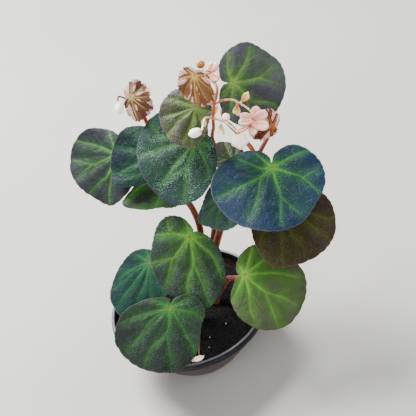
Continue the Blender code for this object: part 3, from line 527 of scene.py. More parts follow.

# What each blade looks like: its colour between the veins, out towards the edge (bluer and greyer, partly
# its own colour and partly a painted silvery-blue reflection), in its dark patches, in the glow along the
# veins, on the veins and on the thin edge; how thickly silver specks lie; how much it puckers.
Look = namedtuple("Look", "field outer shade glow vein edge specks pucker")
LOOKS = {
    "leaf_back_right": Look("384133", "43434c", "2f332d", "446133", "6e894c", "757168", 0.09, 0.4),
    "leaf_back_left": Look("3d412f", "4c483f", "2f2b1d", "465a2b", "63713c", "836e78", 0.6, 0.9),
    "leaf_upper_left": Look("2a332d", "26343a", "211d14", "2f5334", "537a41", "5e5563", 0.8, 0.9),
    "leaf_left_inner": Look("101f1d", "14222a", "0f1414", "143f22", "315c2f", "4f515a", 0.32, 0.45),
    "leaf_left_under": Look("2b3a28", "313a2f", "2a2622", "3a7533", "68993f", "676151", 0.22, 0.5),
    "leaf_left_outer": Look("262a28", "2d2d34", "222121", "26432d", "678e4a", "6e5f56", 0.08, 0.3),
    "leaf_right_upper": Look("1d2a33", "1f2d43", "18222a", "244a31", "588a3f", "6a6171", 0.3, 0.5),
    # leaf_right_middle's olive-brown is partly its own colour and partly painted shadow of the leaf above it.
    "leaf_right_middle": Look("38311d", "41362b", "2b2114", "3d4119", "5c5e2a", "684d3f", 0.3, 0.4),
    "leaf_right_low": Look("415331", "4a513c", "3a4431", "446c2d", "789c4c", "5e5543", 0.1, 0.5),
    "leaf_under_bloom": Look("2b3122", "343431", "212119", "364c2a", "5a7134", "5c5146", 0.2, 0.4),
    "leaf_middle_small": Look("38443d", "3d4c4f", "333a36", "386141", "4f7546", "6a7373", 0.3, 0.4),
    "leaf_front_middle": Look("31382a", "2b3834", "262219", "34582a", "68903d", "5c635c", 0.28, 0.9),
    "leaf_front_left": Look("1d2b2d", "213138", "1b2221", "1d4833", "436c44", "65736e", 0.2, 0.5),
    "leaf_front_low": Look("1d2621", "222925", "1b1f18", "224122", "3f6a33", "5a5c44", 0.22, 0.6),
    "young_leaf_left": Look("4f2b22", "5c3a33", "3a2118", "583626", "b4a971", "6c4136", 0.15, 0.7),
    "young_leaf_top": Look("6e442b", "714a36", "55311f", "6f482b", "b4a261", "6f3f28", 0.15, 0.7),
    "young_leaf_right": Look("5f281b", "5f2d22", "431d14", "612f1f", "9b7143", "612f22", 0.15, 0.7),
}
SILVER = "778987"
# The pale pink on young leaves' swellings: partly their own pink, partly painted highlight.
PINK_AND_HIGHLIGHT = "c09e94"
PAD_RED = "7c4336"
BACK_RED = "5e3d34"
BACK_VEIN = "897a51"


def leaf_skin(name, look, gloss, young):
    """Living leaf skin: waxy and finely pebbled, green along its veins, stippled with silver cells."""
    material, tree, shader, spot = new_finish(name)
    layer = {key: put(tree, "ShaderNodeAttribute", attribute_name=key).outputs["Fac"]
             for key in ("vein", "glow", "crest", "outer", "edge", "heart", "hub", "under")}
    drift = put(tree, "ShaderNodeTexNoise", {"Vector": spot, "Scale": 1 / 0.015, "Detail": 2.0})
    patches = put(tree, "ShaderNodeTexNoise", {"Vector": spot, "Scale": 1 / 0.008, "Detail": 3.0})
    dust = put(tree, "ShaderNodeTexNoise", {"Vector": spot, "Scale": 1 / 0.0075, "Detail": 2.5})
    outward = put(tree, "ShaderNodeMath", {0: layer["outer"], 1: drift}, operation="ADD")
    far = put(tree, "ShaderNodeMapRange", {"Value": outward, "From Min": 0.35, "From Max": 1.2})
    shaded = put(tree, "ShaderNodeMapRange", {"Value": patches, "From Min": 0.45, "From Max": 0.66,
                                              "To Max": 0.5})
    broken = put(tree, "ShaderNodeMapRange", {"Value": patches, "From Min": 0.65, "From Max": 0.4,
                                              "To Min": 0.6})
    glowing = put(tree, "ShaderNodeMath", {0: layer["glow"], 1: broken}, operation="MULTIPLY")
    green = put(tree, "ShaderNodeMapRange", {"Value": drift, "From Min": 0.52, "From Max": 0.4,
                                             "To Max": 0.0 if young else 0.3})
    warm = put(tree, "ShaderNodeMath", {0: layer["heart"], 1: 0.7}, operation="MULTIPLY")
    inner = put(tree, "ShaderNodeMath", {0: layer["heart"], 1: 4.0}, operation="POWER")
    lit = put(tree, "ShaderNodeMath", {0: inner, 1: 0.7}, operation="MULTIPLY")
    drawn = put(tree, "ShaderNodeMapRange", {"Value": layer["heart"], "To Min": 0.9 if young else 0.85})
    faded = put(tree, "ShaderNodeMath", {0: drawn, 1: broken}, operation="MULTIPLY")
    veined = put(tree, "ShaderNodeMath", {0: layer["vein"], 1: faded}, operation="MULTIPLY")
    # The wash out towards the edge is partly the blade's own blue-grey and partly a painted silvery-blue
    # reflection.
    tone = paint(look.field)
    for share, colour in ((far, look.outer), (shaded, look.shade), (green, look.glow), (glowing, look.glow),
                          (warm, look.glow), (lit, look.vein)):
        tone = put(tree, "ShaderNodeMix", {FACTOR: share, FIRST: tone, SECOND: paint(colour)},
                   data_type="RGBA")
    # Silver cells under the skin, 0.3 mm across, drawn as a 0.7 mm stipple so that they show. They lie
    # thickest on the flanks of the veins, in drifts.
    cells = put(tree, "ShaderNodeTexNoise", {"Vector": spot, "Scale": 1 / 0.0007, "Detail": 2.0})
    thick = put(tree, "ShaderNodeMapRange", {"Value": dust, "From Min": 0.38, "From Max": 0.6,
                                             "To Min": 0.12 * look.specks, "To Max": 1.1 * look.specks})
    flank = put(tree, "ShaderNodeMapRange", {"Value": layer["crest"], "To Min": 1.0, "To Max": 0.55})
    strength = put(tree, "ShaderNodeMath", {0: thick, 1: flank}, operation="MULTIPLY")
    swing = put(tree, "ShaderNodeMapRange", {"Value": cells, "From Min": 0.4, "From Max": 0.6, "To Min": -1.0,
                                             "To Max": 1.2})
    grain = put(tree, "ShaderNodeMath", {0: swing, 1: strength, 2: 1.0}, operation="MULTIPLY_ADD")
    tone = put(tree, "ShaderNodeMix", {FACTOR: 1.0, FIRST: tone, SECOND: grain}, data_type="RGBA",
               blend_type="MULTIPLY")
    dots = put(tree, "ShaderNodeMapRange", {"Value": cells, "From Min": 0.5, "From Max": 0.66, "To Max": 0.7})
    bright = put(tree, "ShaderNodeMath", {0: dots, 1: strength}, operation="MULTIPLY")
    # The swellings of an unrolling blade are pale pink with ragged limits: partly their own pink bloom and
    # partly a painted highlight on the tops of the swellings.
    pink_and_highlight = put(tree, "ShaderNodeMath", {0: layer["crest"], 1: dust}, operation="MULTIPLY")
    patch = put(tree, "ShaderNodeMapRange", {"Value": pink_and_highlight, "From Min": 0.3, "From Max": 0.4,
                                             "To Max": 0.85 if young else 0.0})
    margin = put(tree, "ShaderNodeMath", {0: layer["edge"], 1: 0.6}, operation="MULTIPLY")
    back = put(tree, "ShaderNodeMix", {FACTOR: layer["vein"], FIRST: paint(BACK_RED),
                                       SECOND: paint(BACK_VEIN)}, data_type="RGBA")
    for share, colour in ((bright, paint(SILVER)), (patch, paint(PINK_AND_HIGHLIGHT)), (veined, paint(look.vein)),
                          (margin, paint(look.edge)), (layer["hub"], paint(PAD_RED)), (layer["under"], back)):
        tone = put(tree, "ShaderNodeMix", {FACTOR: share, FIRST: tone, SECOND: colour}, data_type="RGBA")
    shine = put(tree, "ShaderNodeMapRange", {"Value": dust, "To Min": gloss - 0.06, "To Max": gloss + 0.12})
    pebbles = put(tree, "ShaderNodeTexVoronoi", {"Vector": spot, "Scale": 1 / 0.0016}, feature="SMOOTH_F1")
    relief = put(tree, "ShaderNodeBump", {"Strength": 0.4, "Distance": 0.6 * MM, "Height": pebbles},
                 invert=True)
    put(tree, shader, {"Base Color": tone, "Roughness": shine, "IOR": 1.42, "Specular IOR Level": 0.2,
                       "Normal": relief})
    return material


def plane_axes(leaf):
    """The blade's normal, its level direction and its uphill direction."""
    azimuth, elevation = (math.radians(angle) for angle in leaf.faces)
    normal = Vector((math.cos(azimuth) * math.cos(elevation), math.sin(azimuth) * math.cos(elevation),
                     math.sin(elevation)))
    level = Vector((0, 0, 1)).cross(normal).normalized()
    return normal, level, normal.cross(level)


def place_at(leaf, turn, reach):
    """The place in a blade's plane that lies so many degrees from the notch and mm from the hub."""
    angle = math.radians(leaf.sinus + turn)
    return np.array([math.cos(angle), math.sin(angle)]) * reach * MM


def turn_of(leaf, places):
    """Degrees from the notch round to each place in a blade's plane."""
    return (np.degrees(np.arctan2(places[..., 1], places[..., 0])) - leaf.sinus) % 360


def room(leaf, edge, places):
    """How far the blade's edge lies from the hub in the direction of each place."""
    turns = turn_of(leaf, edge)
    order = np.argsort(turns)
    return np.interp(turn_of(leaf, places), turns[order], np.hypot(*edge.T)[order], period=360)


def bend(before, start, end, after, share):
    """Places on a smooth curve from start to end that also heeds the corners before and after them."""
    return 0.5 * (2 * start + (end - before) * share + (2 * before - 5 * start + 4 * end - after) * share ** 2
                  + (3 * start - before - 3 * end + after) * share ** 3)


def edge_line(leaf, count):
    """The blade's edge in its plane: a smooth closed curve through its corners, from the notch round."""
    corners = np.array([place_at(leaf, 0, NOTCH / MM)] + [place_at(leaf, REACH_STEP * (number + 0.5), reach)
                                                          for number, reach in enumerate(leaf.reach)])
    at = np.arange(count) / count * len(corners)
    span = at.astype(int)
    return bend(*(corners[(span + shift) % len(corners)] for shift in (-1, 0, 1, 2)), (at - span)[:, None])


def smooth_line(corners, count):
    """A smooth open line of count points through the corners."""
    corners = np.array(corners, float)
    spans = len(corners) - 1
    at = np.linspace(0, spans, count)
    span = np.minimum(at.astype(int), spans - 1)
    padded = np.concatenate([[2 * corners[0] - corners[1]], corners, [2 * corners[-1] - corners[-2]]])
    return bend(*(padded[span + shift] for shift in (0, 1, 2, 3)), (at - span)[:, None])


def blade_rise(leaf, turn, distance, share):
    """Height of the solid's blade above its plane, its fold flattened, for arrays of places."""
    bounds = np.array((0,) + leaf.veins + (360,), float)
    after = np.clip(np.searchsorted(bounds, turn, side="right"), 1, len(bounds) - 1)
    low, high = bounds[after - 1], bounds[after]
    bulge = np.sin(np.pi * (turn - low) / (high - low))
    far = distance / (max(leaf.reach) * MM)
    fold = leaf.fold * (FOLD_KEPT * (bulge - FOLD_MEAN) + FOLD_REST) * far * (1.3 - 0.5 * far)
    wave = np.sin(np.radians(EDGE_WAVES * turn + 40 * leaf.veins[0])) * far * share ** 2
    return MM * (fold - leaf.dome * far ** 2 + leaf.wave * wave)


def relief_kept(distance, share):
    """How much of a blade's relief is left near its hub and its edge, where it runs out."""
    return np.clip(distance / FLAT_HEART, 0, 1) * (1 - 0.6 * share ** 6)


def side_veins(leaf, edge, line):
    """The short veins that leave a main vein in pairs and curve towards its tip."""
    drawn = []
    for place in SIDE_VEIN_PLACES:
        ahead = line[place + 1] - line[place - 1]
        ahead = ahead / np.hypot(*ahead)
        run = 0.34 * (room(leaf, edge, line[place]) - np.hypot(*line[place])) + 2.2 * MM
        for lean in (SIDE_VEIN_LEAN, -SIDE_VEIN_LEAN):
            aside = np.array([ahead[0] * math.cos(lean) - ahead[1] * math.sin(lean),
                              ahead[0] * math.sin(lean) + ahead[1] * math.cos(lean)])
            middle = line[place] + aside * run * 0.55
            end = middle + (aside + 0.45 * ahead) * run * 0.5
            if np.hypot(*end) < 0.96 * room(leaf, edge, end):
                drawn.append((smooth_line([line[place], middle, end], 6), SIDE_VEIN))
    return drawn


def vein_lines(leaf, edge):
    """Every vein as a line in the blade's plane and its rank."""
    starts = [rib[0][0] for rib in leaf.ribs]
    lines = [([np.zeros(2)] + [place_at(leaf, *corner) for corner in rib], RIB) for rib in leaf.ribs]
    for turn in leaf.veins:
        if all(abs(turn - start) > RIBS_APART for start in starts):
            reach = room(leaf, edge, place_at(leaf, turn, 1)) / MM
            lines.append(([np.zeros(2), place_at(leaf, turn, 0.5 * reach),
                           place_at(leaf, turn + 3, 0.8 * reach)], RIB))
    lines += [([place_at(leaf, *corner) for corner in fork], FORK) for fork in leaf.forks]
    drawn = []
    for corners, rank in lines:
        ahead = corners[-1] - corners[-2]
        ahead = ahead / np.hypot(*ahead)
        tip = corners[-1].copy()
        while np.hypot(*tip) < 0.9 * room(leaf, edge, tip):
            tip = tip + ahead * 0.5 * MM
        if np.hypot(*(tip - corners[-1])) > 2.5 * MM:
            corners = corners + [tip]
        drawn.append((smooth_line(corners, 20), rank))
    for line, rank in list(drawn):
        if np.hypot(*(line[-1] - line[0])) >= SHORTEST_WITH_SIDES:
            drawn += side_veins(leaf, edge, line)
    return drawn


def heart_glow(distance, size):
    """The glow round the hub, for arrays of distances from it."""
    return np.exp(-(distance / (10 * size * MM)) ** 2)


def vein_fields(flat, lines, size):
    """How near each place lies to a vein: the vein's own line, the glow round it, and the swelling between
    main veins and between side veins."""
    core = np.zeros(len(flat))
    glow = np.zeros(len(flat))
    main_gap = np.full(len(flat), 1.0)
    side_gap = np.full(len(flat), 1.0)
    for line, rank in lines:
        is_main = rank > SIDE_VEIN
        fine, wide = (0.55 * size ** 0.5, 5.0 * size) if is_main else (0.4 * size ** 0.5, 1.4 * size)
        nearest = main_gap if is_main else side_gap
        for start, end, strength in zip(line[:-1], line[1:], np.linspace(1, 0.45, len(line) - 1)):
            run = end - start
            share = np.clip(((flat - start) @ run) / (run @ run), 0, 1)
            gap = np.hypot(*(flat - start - share[:, None] * run).T)
            drawn = 0.45 * np.exp(-(gap / (fine * MM)) ** 2) + 0.4 * np.exp(-(gap / (2.2 * fine * MM)) ** 2)
            lit = np.exp(-(gap / (wide * (0.4 + 0.6 * strength) * MM)) ** 2)
            np.maximum(core, rank ** 1.5 * strength * drawn, out=core)
            np.maximum(glow, rank ** 1.5 * strength * lit, out=glow)
            np.minimum(nearest, gap, out=nearest)
    swell = 1 - np.exp(-(main_gap / (3.2 * size * MM)) ** 2)
    small = 1 - np.exp(-(side_gap / (1.3 * size * MM)) ** 2)
    return core, glow, swell, small


def tube(line, radii, sides, first=0):
    """A closed tube round a line of 3-D points: its points and faces."""
    line = np.asarray(line, float)
    ahead = np.gradient(line, axis=0)
    ahead /= np.linalg.norm(ahead, axis=1)[:, None]
    side = np.cross(ahead[0], (0.31, 0.22, 0.93))
    points = []
    for place, along, radius in zip(line, ahead, radii):
        side = side - along * (side @ along)
        side /= np.linalg.norm(side)
        other = np.cross(along, side)
        for number in range(sides):
            turn = 2 * math.pi * number / sides
            points.append(place + radius * (side * math.cos(turn) + other * math.sin(turn)))
    faces = []
    for ring in range(len(line) - 1):
        low = first + ring * sides
        high = low + sides
        for number in range(sides):
            after = (number + 1) % sides
            faces.append((low + number, low + after, high + after, high + number))
    faces.append([first + number for number in reversed(range(sides))])
    faces.append([first + (len(line) - 1) * sides + number for number in range(sides)])
    return points, faces


def set_layer(piece, name, values):
    """Store one number for each point of a piece under a name."""
    layer = piece.data.attributes.new(name, "FLOAT", "POINT")
    layer.data.foreach_set("value", np.ascontiguousarray(values, np.float32))


def scalloped(leaf, edge, scallops, depth):
    """The edge drawn in a little and cut into shallow, uneven scallops."""
    count = np.arange(BLADE_SIDES)
    lobes = np.abs(np.sin(count / BLADE_SIDES * math.pi * scallops + 0.8 * np.sin(count * 0.21 + leaf.sinus)))
    ragged = np.array([0.5 + noise.noise(Vector((number * 0.23, leaf.sinus, 0))) for number in count])
    inset = EDGE_INSET + depth * (1 - lobes ** 0.7) * (0.4 + 1.2 * np.clip(ragged, 0, 1))
    return edge * (1 - inset / np.hypot(*edge.T))[:, None]


def make_blade(leaf, material, scallops, depth):
    """A blade: its shell, a slender ridge along each main vein, and the layers that paint its skin."""
    pucker = LOOKS[leaf.name].pucker
    normal, level, uphill = (np.array(axis) for axis in plane_axes(leaf))
    hub = np.array(leaf.hub) * MM
    size = max(leaf.reach) / FULL_REACH
    edge = edge_line(leaf, BLADE_SIDES)
    lines = vein_lines(leaf, edge)
    edge = scalloped(leaf, edge, scallops, depth)

    rings = np.concatenate([np.linspace(0, 1, TOP_RINGS + 1)[1:], np.linspace(0, 1, UNDER_RINGS + 1)[:0:-1]])
    flat = (edge[None] * rings[:, None, None]).reshape(-1, 2)
    share = np.repeat(rings, BLADE_SIDES)
    distance = np.hypot(*flat.T)
    core, glow, swell, small = vein_fields(flat, lines, size)
    ruffle = np.array([noise.noise(Vector((x, y, leaf.sinus * MM)) / (4.5 * MM)) for x, y in flat])
    relief = pucker * (swell - 0.55) + 0.15 * (small - 0.7) * swell + 0.22 * ruffle
    rise = blade_rise(leaf, turn_of(leaf, flat), distance, share) + MM * relief_kept(distance, share) * relief
    under = np.arange(len(flat)) >= TOP_RINGS * BLADE_SIDES
    half = BLADE_HALF * (1 - 0.55 * share ** 4)
    rise = rise + np.where(under, -half, half)
    shell = hub + flat[:, :1] * level + flat[:, 1:] * uphill + rise[:, None] * normal
    points = [hub + normal * BLADE_HALF] + list(shell) + [hub - normal * BLADE_HALF]
    faces = shell_faces(len(rings), BLADE_SIDES)
    from_edge = (1 - share) * np.tile(np.hypot(*edge.T), len(rings))
    # Each layer's value at the hub on top, on the rings, and at the hub underneath.
    layers = {"vein": (1, core, 1), "glow": (1, glow, 1), "outer": (0, share ** 1.6, 0),
              "crest": (0, swell * small, 0), "edge": (0, np.exp(-(from_edge / EDGE_LINE) ** 2), 0),
              "heart": (1, heart_glow(distance, size), 1), "hub": (1, np.exp(-(distance / PAD_SPOT) ** 2), 0),
              "under": (0, under, 1)}
    layers = {key: np.concatenate([[top], values, [below]]) for key, (top, values, below) in layers.items()}

    # A ridge stands a little out of the top and more out of the underside, and tapers to the vein's tip.
    for line, rank in lines:
        if rank == SIDE_VEIN:
            continue
        distance = np.hypot(*line.T)
        share = np.clip(distance / room(leaf, edge, line), 0, 1)
        height = blade_rise(leaf, turn_of(leaf, line), distance, share)
        height = height - 0.55 * MM * pucker * relief_kept(distance, share)
        taper = np.linspace(1, 0.3, len(line))
        radii = (0.15 + 0.35 * rank * taper) * math.sqrt(size) * MM
        path = (hub + line[:, :1] * level + line[:, 1:] * uphill
                + (height + BLADE_HALF + 0.1 * MM * taper - radii)[:, None] * normal)
        ridge, sides = tube(path, radii, RIDGE_SIDES, len(points))
        points += ridge
        faces += sides
        strength = 0.1 + 0.75 * rank * taper
        added = {"vein": strength, "glow": strength, "outer": share ** 1.6, "crest": 0 * share,
                 "edge": 0 * share, "heart": heart_glow(distance, size),
                 "hub": np.exp(-(distance / PAD_SPOT) ** 2)}
        added = {key: np.repeat(values, RIDGE_SIDES) for key, values in added.items()}
        added["under"] = (np.array(ridge) - np.repeat(path, RIDGE_SIDES, axis=0)) @ normal < -0.1 * MM
        layers = {key: np.concatenate([values, added[key]]) for key, values in layers.items()}
    blade = new_piece(leaf.name + "_blade", points, faces, material)
    for key, values in layers.items():
        set_layer(blade, key, values)
    return blade


for leaf in LEAVES:
    skin = leaf_skin("waxy_leaf_skin_" + leaf.name, LOOKS[leaf.name], LEAF_GLOSS, False)
    blade = make_blade(leaf, skin, LEAF_SCALLOPS, LEAF_SCALLOP_DEPTH)
    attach(blade, "root")
    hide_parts(leaf.name)

# Young leaves: thin bronze blades that have just unrolled at the tips of the canes, each on its own petiole.
# They are glossier than the others and frilled along the edge; their swellings are bloomed with pink, and
# a painted highlight is mixed into that pink.
YOUNG_SCALLOPS, YOUNG_SCALLOP_DEPTH, YOUNG_GLOSS = 30, 1.3 * MM, 0.32
for leaf in YOUNG_LEAVES:
    skin = leaf_skin("glossy_young_leaf_skin_" + leaf.name, LOOKS[leaf.name], YOUNG_GLOSS, True)
    blade = make_blade(leaf, skin, YOUNG_SCALLOPS, YOUNG_SCALLOP_DEPTH)
    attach(blade, "root")
    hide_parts(leaf.name)

# Canes and petioles: five juicy stems with a swollen ring wherever a petiole leaves them, red-brown and
# finely hairy, each standing in the mix. A petiole ends in a small pad under its blade, at the hub.
CANE_POINTS = 90
CANE_TAPER = 0.76
PETIOLE_POINTS = 44
STUB_POINTS, SHOOT_POINTS = 20, 24
CANE_SIDES, PETIOLE_SIDES, SHOOT_SIDES = 20, 14, 12
ROOTED_DEPTH = 17 * MM
PETIOLE_FOOT = 1.9 * MM
PETIOLE_HEAD = 1.15 * MM
PETIOLE_APPROACH = 8 * MM
HUB_SEAT = 0.55 * MM
PAD_SWELL = 0.25
NODE_SWELL = 0.16
STEM_VOXEL = 0.45 * MM
STEM_SMOOTHING = 4
HAIRS_PER_SQUARE_METRE = 210000.0
HAIR_LENGTH = 1.3 * MM
HAIR_RADIUS = 0.06 * MM
BARE_FOOT = 2 * MM
RED_PETIOLE = "leaf_right_low"
# A cane's route and each petiole's own points are in mm, and a petiole leaves at a share of the route.
Cane = namedtuple("Cane", "name route radius petioles")
CANES = (
    Cane("cane_back", ((11, 12, 0), (12, 12, 40), (21, 15, 62), (33, 24, 88), (40, 30, 112), (44, 37, 135),
                       (46, 42, 150)), 3.2,
         (("leaf_back_left", 1.0, ((44.5, 46, 158), (46.5, 41, 173))),
          ("leaf_upper_left", 0.9, ((41, 42, 152),)),
          ("young_leaf_top", 0.96, ((45, 50, 160), (47.5, 51.5, 175), (48, 51, 203))),
          ("leaf_middle_small", 0.62, ((42, 22, 118),)))),
    Cane("cane_left", ((3, 14, 0), (4, 14, 40), (12, 20, 62), (23, 28, 88), (22, 38, 106), (15, 47, 116)), 3,
         (("leaf_left_inner", 1.0, ((15, 62, 131), (14, 65, 139))),
          ("leaf_left_under", 0.97, ()),
          ("leaf_left_outer", 0.92, ((2, 60, 122), (-12, 75, 133))),
          ("young_leaf_left", 1.0, ((10, 66, 132), (6, 84, 158), (3, 83, 178))))),
    Cane("cane_right", ((12, 3, 0), (13, 3, 40), (22, 8, 66), (34, 15, 90), (46, 23, 107), (61, 28, 120),
                        (70, 31, 132)), 3.2,
         (("leaf_right_upper", 0.97, ((77, 24, 139),)),
          ("leaf_right_middle", 0.8, ((72, 16, 115),)),
          ("leaf_under_bloom", 0.9, ((66, 42, 126),)),
          ("leaf_back_right", 1.0, ((75, 33, 147), (68, 45, 157), (61, 60, 167))),
          ("young_leaf_right", 0.99, ((80, 33, 146), (89.5, 38.5, 154.5))))),
    Cane("cane_front", ((20, 2, 0), (21, 1, 40), (28, -3, 58), (35, -10, 74)), 2.6,
         (("leaf_right_low", 0.97, ()),)),
    Cane("cane_low", ((0, -4, 0), (0, -5, 40), (3, -6, 56), (6, -5, 68)), 2.8,
         (("leaf_front_middle", 1.0, ((12, 4, 90),)),
          ("leaf_front_left", 0.85, ((-10, 8, 78),)),
          ("leaf_front_low", 0.75, ((-3, -18, 74),)))),
)
# A stub that ends cane_back and carries the flower stalk, and the thin shoot of cane_left with its bud.
STUB = ((44, 37, 135), (47.5, 43, 146), (50, 43.5, 153))
LEFT_SHOOT = ((3, 83, 178), (-2, 77, 188), (-7, 69.5, 197.5), (-8.6, 66.2, 196.2))

# Stem skin: a thin waxy skin, red-brown over green flesh, redder towards the leaves, with pale flecks.
stem_skin, tree, shader, spot = new_finish("hairy_stem_skin")
outward = put(tree, "ShaderNodeAttribute", attribute_name="outward").outputs["Fac"]
bright = put(tree, "ShaderNodeAttribute", attribute_name="bright").outputs["Fac"]
mottle = put(tree, "ShaderNodeTexNoise", {"Vector": spot, "Scale": 1 / 0.006, "Detail": 4.0,
                                          "Roughness": 0.6})
low = put(tree, "ShaderNodeValToRGB", {"Fac": mottle},
          stops=[(0.32, "673d26"), (0.55, "975c36"), (0.75, "a97c4f")])
high = put(tree, "ShaderNodeValToRGB", {"Fac": mottle}, stops=[(0.32, "6f311f"), (0.6, "90432a")])
flecks = put(tree, "ShaderNodeTexVoronoi", {"Vector": spot, "Scale": 1 / 0.0016})
fleck = put(tree, "ShaderNodeMapRange", {"Value": flecks, "From Min": 0.26, "From Max": 0.1, "To Max": 0.45})
tone = low
for share, colour in ((outward, high), (bright, paint("8a291d")), (fleck, paint("b1896a"))):
    tone = put(tree, "ShaderNodeMix", {FACTOR: share, FIRST: tone, SECOND: colour}, data_type="RGBA")
relief = put(tree, "ShaderNodeBump", {"Strength": 0.3, "Distance": 0.4 * MM, "Height": mottle})
put(tree, shader, {"Base Color": tone, "Roughness": 0.42, "Sheen Weight": 0.25, "Normal": relief})

# Begonia hair: fine, short and pale red.
begonia_hair, tree, shader, spot = new_finish("begonia_hair")
vary = put(tree, "ShaderNodeTexNoise", {"Vector": spot, "Scale": 1 / 0.004})
tone = put(tree, "ShaderNodeValToRGB", {"Fac": vary}, stops=[(0.35, "7a4134"), (0.65, "b3897c")])
put(tree, shader, {"Base Color": tone, "Roughness": 0.5})

# Hairs stand on the skin wherever its "fringe" layer is 1. They are drawn 0.12 mm thick so that they show.
hair_tree, given, out = new_tree("hairs", Density="NodeSocketFloat", Length="NodeSocketFloat",
                                 Radius="NodeSocketFloat", Seed="NodeSocketInt")
fringe = put(hair_tree, "GeometryNodeInputNamedAttribute", {"Name": "fringe"}, data_type="FLOAT")
dense = put(hair_tree, "ShaderNodeMath", {0: fringe, 1: given["Density"]}, operation="MULTIPLY")
strewn = put(hair_tree, "GeometryNodeDistributePointsOnFaces",
             {"Mesh": given["Geometry"], "Density": dense, "Seed": given["Seed"]})
hair = put(hair_tree, "GeometryNodeMeshCone", {"Vertices": 3, "Side Segments": 1, "Radius Top": 0.0,
                                               "Radius Bottom": given["Radius"], "Depth": given["Length"]})
leans = put(hair_tree, "FunctionNodeRandomValue", {0: (-0.6, -0.6, 0), 1: (0.6, 0.6, 6), "Seed": 3},
            data_type="FLOAT_VECTOR")
lean = put(hair_tree, "FunctionNodeEulerToRotation", {"Euler": leans})
turned = put(hair_tree, "FunctionNodeRotateRotation",
             {"Rotation": strewn.outputs["Rotation"], "Rotate By": lean}, rotation_space="LOCAL")
lengths = put(hair_tree, "FunctionNodeRandomValue", {2: 0.55, 3: 1.0, "Seed": 8}, data_type="FLOAT")
placed = put(hair_tree, "GeometryNodeInstanceOnPoints",
             {"Points": strewn, "Instance": hair, "Rotation": turned, "Scale": lengths})
real = put(hair_tree, "GeometryNodeRealizeInstances", {"Geometry": placed})
coated = put(hair_tree, "GeometryNodeSetMaterial", {"Geometry": real, "Material": begonia_hair})
put(hair_tree, out, {"Geometry": coated})


def fused(name, tubes, voxel, smoothing, material):
    """Overlapping tubes grown into one smooth skin."""
    points, faces = [], []
    for line, radii, sides in tubes:
        more, walls = tube(line, radii, sides, len(points))
        points += more
        faces += walls
    piece = new_piece(name, points, faces, material)
    skin = piece.modifiers.new("skin", "REMESH")
    skin.mode = "VOXEL"
    skin.voxel_size = voxel
    soft = piece.modifiers.new("soften", "SMOOTH")
    soft.factor = 0.5
    soft.iterations = smoothing
    mesh = plain_mesh(piece)
    piece.modifiers.clear()
    piece.data = mesh
    mesh.shade_smooth()
    return piece


def layer_by_line(piece, layer, lines):
    """Give each point of a piece the value of the nearest point of some lines of (points, values)."""
    spots = [(spot, value) for line, values in lines for spot, value in zip(line, values)]
    near = KDTree(len(spots))
    for number, (spot, value) in enumerate(spots):
        near.insert(spot, number)
    near.balance()
    set_layer(piece, layer, [spots[near.find(vert.co)[1]][1] for vert in piece.data.vertices])


hubs = {leaf.name: (np.array(leaf.hub) * MM, np.array(plane_axes(leaf)[0])) for leaf in LEAVES + YOUNG_LEAVES}
for cane in CANES:
    route = np.array(cane.route) * MM
    axis = smooth_line(route, CANE_POINTS)
    share = np.linspace(0, 1, CANE_POINTS)
    radii = cane.radius * MM * (1 + (CANE_TAPER - 1) * share)
    for leaf_name, place, points in cane.petioles:
        radii = radii * (1 + NODE_SWELL * np.exp(-((share - place) / 0.025) ** 2))
    above = axis[:, 2] > SOIL_TOP - ROOTED_DEPTH
    tubes = [(axis[above], radii[above], CANE_SIDES)]
    reds = [(axis[above], 0 * share[above])]
    outs = [(axis[above], 0.5 * share[above])]
    for leaf_name, place, points in cane.petioles:
        hub, normal = hubs[leaf_name]
        end = hub - normal * HUB_SEAT
        start = smooth_line(route, 101)[round(place * 100)]
        own = [np.array(point) * MM for point in points]
        stalk = smooth_line([start] + own + [end - normal * PETIOLE_APPROACH, end], PETIOLE_POINTS)
        run = np.linspace(0, 1, PETIOLE_POINTS)
        widths = PETIOLE_FOOT + (PETIOLE_HEAD - PETIOLE_FOOT) * run
        tubes.append((stalk, widths * (1 + PAD_SWELL * np.exp(-((1 - run) / 0.03) ** 2)), PETIOLE_SIDES))
        reds.append((stalk, np.full(PETIOLE_POINTS, leaf_name == RED_PETIOLE, float)))
        outs.append((stalk, 0.5 + 0.5 * run))
    if cane.name == "cane_back":
        stub = smooth_line(np.array(STUB) * MM, STUB_POINTS)
        tubes.append((stub, np.linspace(2, 1.6, STUB_POINTS) * MM, PETIOLE_SIDES))
    if cane.name == "cane_left":
        shoot = smooth_line(np.array(LEFT_SHOOT) * MM, SHOOT_POINTS)
        tubes.append((shoot, np.linspace(0.85, 0.65, SHOOT_POINTS) * MM, SHOOT_SIDES))
    stem = fused(cane.name + "_skin", tubes, STEM_VOXEL, STEM_SMOOTHING, stem_skin)
    layer_by_line(stem, "outward", outs)
    layer_by_line(stem, "bright", reds)
    set_layer(stem, "fringe", [vert.co.z > SOIL_TOP + BARE_FOOT for vert in stem.data.vertices])
    growth = {"Density": HAIRS_PER_SQUARE_METRE, "Length": HAIR_LENGTH, "Radius": HAIR_RADIUS, "Seed": 2}
    hairs = grown(cane.name + "_hairs", stem, hair_tree, growth)
    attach(stem, "root")
    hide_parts(cane.name)
    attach(hairs, "root")

